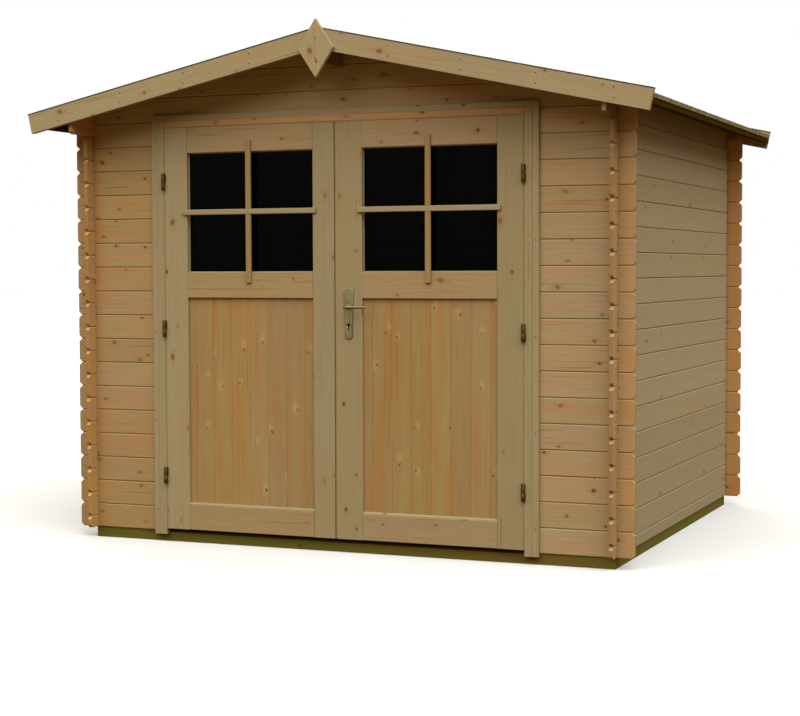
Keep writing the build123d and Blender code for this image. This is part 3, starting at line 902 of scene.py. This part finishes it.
@dataclass(frozen=True)
class Matchboard:
    """Matched boards with V edges on both faces."""

    cover: float
    edge: float
    gap: float

    # A last strip narrower than this share of a board joins its neighbour.
    LEAST = 0.1

    def lay(self, width: Pair, through: Pair, first: float | None = None) -> list[list[Pair]]:
        """Lay boards side by side.

        Args:
            width: Where the first board starts and the last one ends.
            through: Both faces of the boards.
            first: Cover of the first board, if it isn't a whole one.

        Returns:
            Each board's corners, as across it and through it.
        """
        start, end = width
        joints = [start]
        joint = start + (self.cover if first is None else first)
        while joint < end - self.cover * self.LEAST:
            joints.append(joint)
            joint += self.cover
        joints.append(end)
        edge, (low, high) = self.edge, through
        boards = []
        for left, joint in zip(joints, joints[1:]):
            right = joint - self.gap
            under = [(left + edge, low), (right - edge, low), (right, low + edge), (right, high - edge)]
            over = [(right - edge, high), (left + edge, high), (left, high - edge), (left, low + edge)]
            boards.append(under + over)
        return boards


@dataclass
class BaseFrame:
    """Bearers, joists and floor under the walls."""

    seed: int = 11
    boards: Matchboard = Matchboard(cover=0.096, edge=0.0015, gap=0.0004)
    strip_thick: float = 0.0012
    strip_drop: float = 0.007
    strip_rise: float = 0.006
    treated: tuple[str, ...] = ("front_bearer", "rear_bearer", "side_bearers", "floor_joists")

    def build(self) -> None:
        """Show every piece of the base."""
        for seed, node in enumerate(self.treated, start=self.seed):
            Timber(f"{node}_timber", Stock.TREATED, Place(Slot.TREATED, node), seed).take().show()
        self._threshold()
        self._floor()

    def _threshold(self) -> None:
        """Fold a near-black strip over the bearer's edge under the doors, up to the floor, as painted
        shade of the doors.
        """
        low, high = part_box("threshold")
        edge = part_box("front_bearer")[0].y
        front, top = edge - self.strip_thick, low.z + self.strip_thick
        foot, back = low.z - self.strip_drop, high.y - self.strip_rise
        under = [(front, foot), (edge, foot), (edge, low.z), (high.y, low.z)]
        over = [(high.y, high.z), (back, high.z), (back, top), (front, top)]
        place = Place(Slot.FLOOR, "threshold")
        strip = Timber("threshold_timber", Stock.SHADE_BLACK, place, self.seed + 4)
        sweep(strip.made, under + over, Axis.X, (low.x, high.x))
        strip.show()

    def _floor(self) -> None:
        """Lay the floor boards from front to back."""
        low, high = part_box("floor")
        floor = Timber("floor_boards", Stock.FLOOR, Place(Slot.FLOOR, "floor"), self.seed + 5)
        for section in self.boards.lay((low.x, high.x), (low.z, high.z)):
            sweep(floor.made, section, Axis.Y, (low.y, high.y))
        floor.show()


@dataclass
class LogWalls:
    """Walls and gables of stacked log boards, with the logs that carry the roof."""

    wall_seed: int = 31
    carrier_seed: int = 41
    stray: float = 0.0005
    walls: tuple[tuple[str, Stock], ...] = (
        ("front_wall_left", Stock.LOG),
        ("front_wall_right", Stock.PALE_LOG),
        ("rear_wall", Stock.REAR_LOG),
        ("left_wall", Stock.OIL_AND_SHADE_LOG),
        ("right_wall", Stock.SIDE_LOG),
        ("front_gable", Stock.LOG),
        ("rear_gable", Stock.LOG),
    )
    carriers: tuple[tuple[str, Stock], ...] = (
        ("left_eave_log", Stock.REAR_LOG),
        ("right_eave_log", Stock.EAVE_LOG),
        ("ridge_purlin", Stock.EAVE_LOG),
    )

    def build(self) -> None:
        """Show every log."""
        for seed, (node, finish) in enumerate(self.walls, start=self.wall_seed):
            Timber(f"{node}_logs", finish, Place(Slot.LOG, node), seed, self.stray).take().show()
        for seed, (node, finish) in enumerate(self.carriers, start=self.carrier_seed):
            Timber(f"{node}_timber", finish, Place(Slot.LOG, node), seed).take().show()


@dataclass
class Roof:
    """Boarded and felted slopes with their battens, bargeboards and finial."""

    seed: int = 51
    boards: Matchboard = Matchboard(cover=0.096, edge=0.003, gap=0.0006)
    board_thick: float = 0.018
    pitch_degrees: float = 12.25
    felt_thick: float = 0.004
    felt_edge_thick: float = 0.008
    felt_edge_wide: float = 0.10
    felt_drop: float = 0.011
    felt_lip: float = 0.003
    felt_gap: float = 0.0003
    cap_thick: float = 0.004
    cap_lip: float = 0.0015
    nail: Fixing = Fixing(0.0032, 0.0006)
    nails_per_board: int = 4
    # Nails stand in pairs about the bargeboard's middle, so far below its top, and the finial's.
    barge_middle: float = 0.046
    barge_nails: Pair = (0.022, -0.022)
    finial_nails: Pair = (0.045, -0.045)

    @property
    def fall(self) -> float:
        """How far a slope falls in a metre."""
        return math.tan(math.radians(self.pitch_degrees))

    def build(self) -> None:
        """Show every piece of the roof."""
        slopes = ("left_roof", "right_roof")
        for seed, node in enumerate(slopes, start=self.seed):
            self._slope(node, seed)
        for node in slopes:
            self._felt(node)
        battens = Place(Slot.ROOF, "eave_battens")
        Timber("eave_batten_timber", Stock.SHADE_BLACK, battens, self.seed + 2).take().show()
        for seed, node in enumerate(("front_bargeboards", "rear_bargeboards"), start=self.seed + 3):
            Timber(f"{node}_timber", Stock.BARGE, Place(Slot.BARGE, node), seed).take().show()
            self._cap(node)
        finial, upright = Place(Slot.BARGE, "gable_finial"), Vector((0.0, 0.0, 1.0))
        seed = self.seed + 5
        Timber("gable_finial_timber", Stock.BARGE, finial, seed, along=upright).take().show()
        self._nails()

    def _slope(self, node: str, seed: int) -> None:
        """Lay the boards of one slope from the ridge to the eave.

        Args:
            node: The slope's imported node.
            seed: Starts its random draws.
        """
        low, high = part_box(node)
        rise = self.board_thick / math.cos(math.radians(self.pitch_degrees))
        ridge, eave = (low.x, high.x) if node.startswith("right") else (high.x, low.x)
        slope = Timber(f"{node}_boards", Stock.ROOF, Place(Slot.ROOF, node), seed)
        ridge_ends, eave_ends = (
            self.boards.lay((low.y, high.y), (under, under + rise)) for under in (high.z - rise, low.z)
        )
        for top, foot in zip(ridge_ends, eave_ends):
            add_skin(slope.made, [[(ridge, *p) for p in top], [(eave, *p) for p in foot]])
        slope.show()

    def _felt(self, node: str) -> None:
        """Cover one slope with felt, and its eave with a thicker strip that is turned down.

        Args:
            node: The slope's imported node.
        """
        low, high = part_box(node)
        hand = 1.0 if node.startswith("right") else -1.0
        ridge, eave = (low.x, high.x) if hand > 0.0 else (high.x, low.x)
        inner = eave - hand * self.felt_edge_wide
        near, outer = eave + hand * self.felt_gap, eave + hand * self.felt_lip
        crest, lap, edge = (
            high.z - abs(x - ridge) * self.fall + self.felt_gap for x in (ridge, inner, eave)
        )
        sheet = [(ridge, crest), (inner, lap)]
        sheet += [(inner, lap + self.felt_thick), (ridge, crest + self.felt_thick)]
        strip = [(inner, lap), (near, edge), (near, edge - self.felt_drop)]
        strip += [(outer, edge - self.felt_drop), (outer, edge + self.felt_edge_thick)]
        strip.append((inner, lap + self.felt_edge_thick))
        for name, outline, finish in (
            (f"{node}_felt", sheet, Stock.FELT),
            (f"{node}_eave_felt", strip, Stock.WASHED_FELT),
        ):
            made = bmesh.new()
            sweep(made, outline, Axis.Y, (low.y, high.y))
            show_shape(name, made, finish, Place(Slot.ROOF))

    def _cap(self, node: str) -> None:
        """Cap a pair of bargeboards with a felt strip.

        Args:
            node: The pair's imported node.
        """
        low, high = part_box(node)
        made = bmesh.new()
        top = high.z + self.felt_gap
        for end in (low.x - self.cap_lip, high.x + self.cap_lip):
            foot = top - abs(end) * self.fall
            outline = [(0.0, top), (end, foot)]
            outline += [(end, foot + self.cap_thick), (0.0, top + self.cap_thick)]
            sweep(made, outline, Axis.Y, (low.y - self.cap_lip, high.y + self.cap_lip))
        show_shape(f"{node}_felt_cap", made, Stock.FELT, Place(Slot.ROOF))

    def _nails(self) -> None:
        """Nail the front and rear bargeboards and the finial."""
        for side, outward in (("front", -1.0), ("rear", 1.0)):
            low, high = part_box(f"{side}_bargeboards")
            face = low.y if outward < 0.0 else high.y
            spots = []
            for hand in (-1.0, 1.0):
                # The last nail is half a step from the board's end.
                for step in range(1, self.nails_per_board + 1):
                    reach = high.x * step / (self.nails_per_board + 0.5)
                    middle = high.z - reach * self.fall - self.barge_middle
                    spots += [(hand * reach, face, middle + off) for off in self.barge_nails]
            self.nail.show(f"{side}_bargeboard_nails", spots, Body.SHED, outward)
        low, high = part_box("gable_finial")
        spots = [(0.0, low.y, (low.z + high.z) / 2 + off) for off in self.finial_nails]
        self.nail.show("gable_finial_nails", spots, Body.SHED)


@dataclass
class Doorway:
    """Posts, head and trims round the doors, with the fixed hinge halves."""

    seed: int = 61
    timbers: tuple[tuple[str, Stock], ...] = (
        ("left_door_post", Stock.FRAME),
        ("right_door_post", Stock.FRAME),
        # The head takes the warmer log finish, as painted warm shade under the gable.
        ("door_head", Stock.LOG),
        ("outer_door_trims", Stock.FRAME),
        ("inner_door_trims", Stock.FRAME),
    )
    nail: Fixing = Fixing(0.003, 0.0005)
    nail_pitch: float = 0.42
    nail_inset: float = 0.014
    nail_foot: float = 0.12
    strip_set_back: float = 0.0012
    strip_deep: float = 0.028
    strip_gap: float = 0.0007

    def build(self) -> None:
        """Show every piece of the doorway."""
        for seed, (node, finish) in enumerate(self.timbers, start=self.seed):
            Timber(f"{node}_timber", finish, Place(Slot.FRAME, node), seed).take().show()
        for node in ("left_frame_hinges", "right_frame_hinges"):
            show_solids(f"{node}_steel", Stock.BRONZED, Place(Slot.STEEL, node))
        self._strips()
        self._nails()

    def _strips(self) -> None:
        """Line the gap round the leaves, so that no light falls through."""
        left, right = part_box("left_door_stiles"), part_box("right_door_stiles")
        left_post, right_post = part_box("left_door_post")[1].x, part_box("right_door_post")[0].x
        front = left[0].y + self.strip_set_back
        back = front + self.strip_deep
        low, top, crown = left[0].z, left[1].z + self.strip_gap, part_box("door_head")[0].z
        seed = self.seed + len(self.timbers)
        strips = Timber("door_gap_strips", Stock.FRAME, Place(Slot.FRAME), seed)
        for near, far, foot in (
            (left_post, left[0].x - self.strip_gap, low),
            (right[1].x + self.strip_gap, right_post, low),
            (left[0].x, right[1].x, top),
        ):
            outline = [(near, front), (far, front), (far, back), (near, back)]
            sweep(strips.made, outline, Axis.Z, (foot, crown))
        strips.show()

    def _nails(self) -> None:
        """Nail the outer trims to the wall."""
        low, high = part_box("outer_door_trims")
        reach = high.x - self.nail_inset
        spots = [
            (hand * reach, low.y, low.z + self.nail_foot + step * self.nail_pitch)
            for hand in (-1.0, 1.0)
            for step in range(int((high.z - low.z) / self.nail_pitch))
        ]
        self.nail.show("door_trim_nails", spots, Body.SHED)


@dataclass
class DoorLeaf:
    """One glazed door leaf."""

    body: Body
    seed: int
    opening: Pair
    first_board: float
    light: Pair = (1.280, 1.836)
    panel_foot: float = 0.184
    boards: Matchboard = Matchboard(cover=0.0945, edge=0.0009, gap=0.0003)
    board_stray: float = 0.0003
    # Bars and beads stay this far from what they touch.
    touch_gap: float = 0.0003
    upright_wide: float = 0.0265
    cross_wide: float = 0.0250
    bar_deep: float = 0.011
    bar_round: float = 0.0035
    bar_level: float = 1.5595
    side_lap: float = 0.019
    rail_lap: float = 0.049
    pin: Fixing = Fixing(0.0024, 0.0005)
    pin_inset: float = 0.025
    glass_bead: Pair = (0.0035, 0.006)
    panel_bead: Pair = (0.010, 0.011)
    meeting_gap: float = 0.002
    meeting_set_back: float = 0.006
    meeting_deep: float = 0.012

    # A quarter round in equal steps, coarse for the bars and finer for the beads.
    BAR_TURNS = tuple(math.radians(a) for a in (0.0, 30.0, 60.0, 90.0))
    BEAD_TURNS = tuple(math.radians(a) for a in (0.0, 22.5, 45.0, 67.5, 90.0))

    def build(self) -> None:
        """Show every piece of the leaf."""
        leaf = self.body.value
        timbers = ((f"{leaf}_stiles", Stock.FRAME), (f"{leaf}_rails", Stock.RAIL))
        for seed, (node, finish) in enumerate(timbers, start=self.seed):
            place = Place(Slot.FRAME, node, self.body)
            Timber(f"{node}_timber", finish, place, seed).take().show()
        self._panel()
        self._bars()
        self._beads()
        if self.body is Body.RIGHT_DOOR:
            self._meeting_strip()
        glass = Place(Slot.GLASS, f"{leaf}_glass", self.body)
        show_solids(f"{leaf}_glass_sheet", Stock.FLOAT_GLASS, glass)
        hinges = Place(Slot.STEEL, f"{leaf}_hinges", self.body)
        show_solids(f"{leaf}_hinges_steel", Stock.BRONZED, hinges)

    def _meeting_strip(self) -> None:
        """Stand a strip in the gap between the leaves."""
        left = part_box("left_door_stiles")[1].x + self.meeting_gap
        low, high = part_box(f"{self.body.value}_stiles")
        front = low.y + self.meeting_set_back
        back = front + self.meeting_deep
        outline = [(left, front), (low.x, front), (low.x, back), (left, back)]
        name, place = f"{self.body.value}_meeting_strip", Place(Slot.FRAME, body=self.body)
        strip = Timber(name, Stock.PANEL, place, self.seed + 5)
        sweep(strip.made, outline, Axis.Z, (low.z, high.z))
        strip.show()

    def _panel(self) -> None:
        """Stand matched boards side by side in the lower panel."""
        node = f"{self.body.value}_panel"
        low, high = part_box(node)
        place = Place(Slot.PANEL, node, self.body)
        panel = Timber(f"{node}_boards", Stock.PANEL, place, self.seed + 2, self.board_stray)
        first = self.opening[0] + self.first_board - low.x
        for section in self.boards.lay((low.x, high.x), (low.y, high.y), first):
            sweep(panel.made, section, Axis.Z, (low.z, high.z))
        panel.show()

    def _bar_section(self, wide: float, face: float, outward: float) -> list[Pair]:
        """Outline a glazing bar with rounded front edges.

        Args:
            wide: The bar's width.
            face: The leaf face that it lies on.
            outward: The face's direction along Y, 1 or -1.

        Returns:
            Corners, as an offset from the bar's middle and a place along Y.
        """
        half, edge = wide / 2, self.bar_round
        flat, deep = half - edge, self.bar_deep - edge
        right = [(flat + edge * math.cos(a), deep + edge * math.sin(a)) for a in self.BAR_TURNS]
        left = [(-u, v) for u, v in reversed(right)]
        outline = [(-half, 0.0), (half, 0.0), *right, *left]
        return [(u, face + outward * v) for u, v in outline]

    def _bars(self) -> None:
        """Plant a cross of glazing bars on both faces of the leaf."""
        leaf, place = self.body.value, Place(Slot.FRAME, body=self.body)
        cross = Timber(f"{leaf}_cross_bars", Stock.FRAME, place, self.seed + 3)
        uprights = Timber(f"{leaf}_upright_bars", Stock.PANEL, place, self.seed + 6)
        ends = (self.opening[0] - self.side_lap, self.opening[1] + self.side_lap)
        low, high = self.light[0] - self.rail_lap, self.light[1] + self.rail_lap
        middle, level = sum(self.opening) / 2, self.bar_level
        clear = self.cross_wide / 2 + self.touch_gap
        near, far = (corner.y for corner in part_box(f"{leaf}_stiles"))
        for face, outward in ((near, -1.0), (far, 1.0)):
            section = self._bar_section(self.cross_wide, face, outward)
            sweep(cross.made, [(y, level + u) for u, y in section], Axis.X, ends)
            section = self._bar_section(self.upright_wide, face, outward)
            for reach in ((low, level - clear), (level + clear, high)):
                sweep(uprights.made, [(middle + u, y) for u, y in section], Axis.Z, reach)
        cross.show()
        uprights.show()
        levels = (level, low + self.pin_inset, high - self.pin_inset)
        spots = [(middle, near - self.bar_deep, z) for z in levels]
        self.pin.show(f"{leaf}_bar_pins", spots, self.body)

    def _bead_outline(self, size: Pair) -> list[Pair]:
        """Outline a quarter-round bead, as inward from the frame and forward from the sheet."""
        inward, forward = size
        return [(0.0, 0.0), *((inward * math.cos(a), forward * math.sin(a)) for a in self.BEAD_TURNS)]

    def _beads(self) -> None:
        """Frame the glass with quarter-round beads, and set one on the foot of the panel."""
        leaf, place = self.body.value, Place(Slot.FRAME, body=self.body)
        beads = Timber(f"{leaf}_beads", Stock.FRAME, place, self.seed + 4)
        glass, panel = (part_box(f"{leaf}_{s}")[0].y - self.touch_gap for s in ("glass", "panel"))
        outline, inset = self._bead_outline(self.glass_bead), self.glass_bead[0]
        (left, right), (low, high) = self.opening, self.light
        for edge, inward in ((left, 1.0), (right, -1.0)):
            post = [(edge + inward * u, glass - v) for u, v in outline]
            sweep(beads.made, post, Axis.Z, self.light)
        for edge, inward, sheet, shape, short in (
            (low, 1.0, glass, outline, inset),
            (high, -1.0, glass, outline, inset),
            (self.panel_foot, 1.0, panel, self._bead_outline(self.panel_bead), 0.0),
        ):
            row = [(sheet - v, edge + inward * u) for u, v in shape]
            sweep(beads.made, row, Axis.X, (left + short, right - short))
        beads.show()


@dataclass
class LockSet:
    """Long lock plates, a profile cylinder and the lever handles."""

    middle: float = 0.060
    plate_taper: float = 0.30
    cylinder_level: float = 1.040
    cylinder_radius: float = 0.0080
    cylinder_steps: int = 18
    stem_wide: float = 0.0074
    stem_high: float = 0.0236
    recess: float = 0.0035
    screw: Fixing = Fixing(0.0030, 0.0006, Stock.NICKEL, Slot.NICKEL)
    screw_inset: float = 0.018
    lever_level: float = 1.121
    grip_start: float = -0.0095
    grip_end: float = 0.112
    root_high: float = 0.0190
    tip_high: float = 0.0105
    grip_deep: float = 0.0128
    # The tip is this much thinner than the root.
    grip_thin: float = 0.3
    # A steep rise at the root and fall at the tip close the grip like a rounded bar: how steep,
    # and the share that it starts from.
    root_close: Pair = (9.0, 0.25)
    tip_close: Pair = (7.0, 0.2)
    sides: int = 20
    steps: int = 16
    neck_profile: tuple[Pair, ...] = (
        (0.0115, 0.0), (0.0115, 0.002), (0.0085, 0.004),
        (0.0078, 0.028), (0.0088, 0.036), (0.0030, 0.042),
    )

    def build(self) -> None:
        """Show every piece of the lock."""
        self._plates()
        self._lever()
        self._cylinder()
        low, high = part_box("lock_plates")
        levels = (low.z + self.screw_inset, high.z - self.screw_inset)
        spots = [(self.middle, low.y, z) for z in levels]
        self.screw.show("lock_plate_screws", spots, Body.RIGHT_DOOR)

    def _plates(self) -> None:
        """Narrow the plates toward their foot."""
        place = Place(Slot.NICKEL, "lock_plates", Body.RIGHT_DOOR)
        pair = show_solids("lock_plate_pair", Stock.NICKEL, place)
        low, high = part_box("lock_plates")
        for corner in pair.data.vertices:
            drop = (high.z - corner.co.z) / (high.z - low.z)
            corner.co.x += (self.middle - corner.co.x) * self.plate_taper * drop

    def _lever(self) -> None:
        """Shape both grips, thick at the neck and thin at the tip, on their necks."""
        grip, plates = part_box("door_lever"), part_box("lock_plates")
        made = bmesh.new()
        for end, outward in enumerate((-1.0, 1.0)):
            core = grip[end].y - outward * self.grip_deep / 2
            rings = [self._grip_ring(step / self.steps, core) for step in range(self.steps + 1)]
            add_skin(made, rings)
            foot = (self.middle, plates[end].y, self.lever_level)
            add_turning(made, self.neck_profile, foot, outward, self.sides)
        lever = Place(Slot.NICKEL, "door_lever", Body.LEVER)
        show_shape("door_lever_pair", made, Stock.SHADE_DARK_NICKEL, lever, rounded=True)

    def _grip_ring(self, share: float, core: float) -> list[Point]:
        """Outline a grip.

        Args:
            share: How far along the grip, 0 at the root to 1 at the tip.
            core: Where its middle lies along Y.

        Returns:
            The corners of its oval.
        """
        along = self.middle + self.grip_start + (self.grip_end - self.grip_start) * share
        (rise, start), (fall, last) = self.root_close, self.tip_close
        full = min(1.0, rise * share + start) * min(1.0, fall * (1.0 - share) + last)
        tall = (self.root_high + (self.tip_high - self.root_high) * share) * full / 2
        deep = self.grip_deep * (1.0 - self.grip_thin * share) * full / 2
        oval = [(deep * math.cos(a), tall * math.sin(a)) for a in turns(self.sides)]
        return [(along, core + y, self.lever_level + z) for y, z in oval]

    def _cylinder(self) -> None:
        """Fill the plates' key openings with a profile cylinder."""
        low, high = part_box("lock_plates")
        half, radius = self.stem_wide / 2, self.cylinder_radius
        begin = -math.asin(half / radius)
        step = (math.pi - 2 * begin) / self.cylinder_steps
        angles = [begin + step * i for i in range(self.cylinder_steps + 1)]
        outline = [
            (self.middle + radius * math.cos(a), self.cylinder_level + radius * math.sin(a))
            for a in angles
        ]
        foot = self.cylinder_level - self.stem_high
        outline += [(self.middle - half, foot), (self.middle + half, foot)]
        made = bmesh.new()
        sweep(made, outline, Axis.Y, (low.y + self.recess, high.y - self.recess))
        place = Place(Slot.STEEL, body=Body.RIGHT_DOOR)
        show_shape("lock_cylinder", made, Stock.LOCK_STEEL, place)


@dataclass(frozen=True)
class Lamp:
    """A distant soft lamp."""

    name: str
    tint: str
    # Degrees from the front toward the right, and above the horizon.
    bearing: Pair
    # Degrees that the lamp fills, seen from the shed.
    spread: float
    # Its light on a surface that faces it.
    power: float

    def hang(self) -> None:
        """Add the lamp to the scene."""
        data = bpy.data.lights.new(self.name, "SUN")
        data.color = linear(self.tint)[:3]
        data.angle = math.radians(self.spread)
        data.energy = self.power
        around, above = (math.radians(a) for a in self.bearing)
        ahead = math.cos(above)
        toward = Vector((math.sin(around) * ahead, -math.cos(around) * ahead, math.sin(above)))
        lamp = bpy.data.objects.new(self.name, data)
        lamp.rotation_mode = "QUATERNION"
        lamp.rotation_quaternion = toward.to_track_quat("Z", "Y")
        bpy.context.scene.collection.objects.link(lamp)


@dataclass
class Studio:
    """Pale floor, soft overhead light, white surround and the camera."""

    floor_half: float = 60.0
    white: str = "ffffff"
    fill_tint: str = "ffc46c"
    fill: float = 0.12
    lamps: tuple[Lamp, ...] = (
        Lamp("front_overhead", "fffdf8", (-12.0, 49.0), 66.0, 3.1),
        Lamp("side_overhead", "f8fdfc", (70.0, 50.0), 62.0, 3.5),
        Lamp("rear_overhead", "fffdf8", (-150.0, 45.0), 60.0, 1.8),
    )
    eye: Point = (3.279, -8.262, 1.294)
    yaw_degrees: float = 22.48
    pitch_degrees: float = 2.94
    roll_degrees: float = -0.18
    lens_mm: float = 78.307
    sensor_mm: float = 36.0

    def build(self) -> None:
        """Set up the floor, the light and the camera."""
        self._floor()
        self._surround()
        for lamp in self.lamps:
            lamp.hang()
        self._camera()
        bpy.context.scene.view_settings.view_transform = "Standard"

    def _floor(self) -> None:
        """Lay a floor that keeps the shadow and gives little light back."""
        reach = self.floor_half
        mesh = bpy.data.meshes.new("studio_floor")
        corners = [(-reach, -reach, 0.0), (reach, -reach, 0.0), (reach, reach, 0.0)]
        mesh.from_pydata([*corners, (-reach, reach, 0.0)], [], [(0, 1, 2, 3)])
        mesh.materials.append(Stock.STUDIO_FLOOR.value.material())
        floor = bpy.data.objects.new("studio_floor", mesh)
        bpy.context.scene.collection.objects.link(floor)
        floor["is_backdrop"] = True

    def _surround(self) -> None:
        """Show a white surround, and light the shed with a weak even glow."""
        world = bpy.data.worlds.new("studio_surround")
        world.use_nodes = True
        world.node_tree.nodes.clear()
        add = partial(add_node, world.node_tree)
        glow = add("Background", {"Color": linear(self.fill_tint), "Strength": self.fill})
        white = add("Background", {"Color": linear(self.white), "Strength": 1.0})
        rays = add("LightPath").outputs
        seen: Feed = rays["Is Camera Ray"]
        for kind in ("Is Glossy Ray", "Is Transmission Ray"):
            seen = add("Math", {0: seen, 1: rays[kind]}, operation="MAXIMUM")
        add("OutputWorld", {0: add("MixShader", {"Fac": seen, 1: glow, 2: white})})
        bpy.context.scene.world = world

    def _camera(self) -> None:
        """Stand the camera where the shed fills the picture."""
        degrees = (self.yaw_degrees, self.pitch_degrees, self.roll_degrees)
        yaw, pitch, roll = (math.radians(a) for a in degrees)
        far = math.cos(pitch)
        ahead = Vector((-math.sin(yaw) * far, math.cos(yaw) * far, -math.sin(pitch)))
        level = Vector((math.cos(yaw), math.sin(yaw), 0.0))
        upward = level.cross(ahead)
        right = level * math.cos(roll) + upward * math.sin(roll)
        top = upward * math.cos(roll) - level * math.sin(roll)
        data = bpy.data.cameras.new("studio_camera")
        data.sensor_fit = "HORIZONTAL"
        data.sensor_width = self.sensor_mm
        data.lens = self.lens_mm
        camera = bpy.data.objects.new("studio_camera", data)
        camera.location = self.eye
        camera.rotation_mode = "QUATERNION"
        camera.rotation_quaternion = Matrix((right, top, -ahead)).transposed().to_quaternion()
        bpy.context.scene.collection.objects.link(camera)
        bpy.context.scene.camera = camera


def write_sizes() -> None:
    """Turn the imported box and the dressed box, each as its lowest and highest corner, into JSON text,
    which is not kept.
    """
    boxes = {"cad": CAD_BOX, "dressed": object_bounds()}
    json.dumps({name: [list(low), list(high)] for name, (low, high) in boxes.items()})


def main() -> None:
    """Build the shed piece by piece, then the studio about it."""
    logging.basicConfig(level=logging.INFO, format="%(name)s: %(message)s")
    BaseFrame().build()
    LogWalls().build()
    Roof().build()
    Doorway().build()
    DoorLeaf(Body.LEFT_DOOR, seed=71, opening=(-0.768, -0.119), first_board=0.035).build()
    DoorLeaf(Body.RIGHT_DOOR, seed=81, opening=(0.125, 0.768), first_board=0.044).build()
    LockSet().build()
    Studio().build()
    write_sizes()


if __name__ == "__main__":
    main()
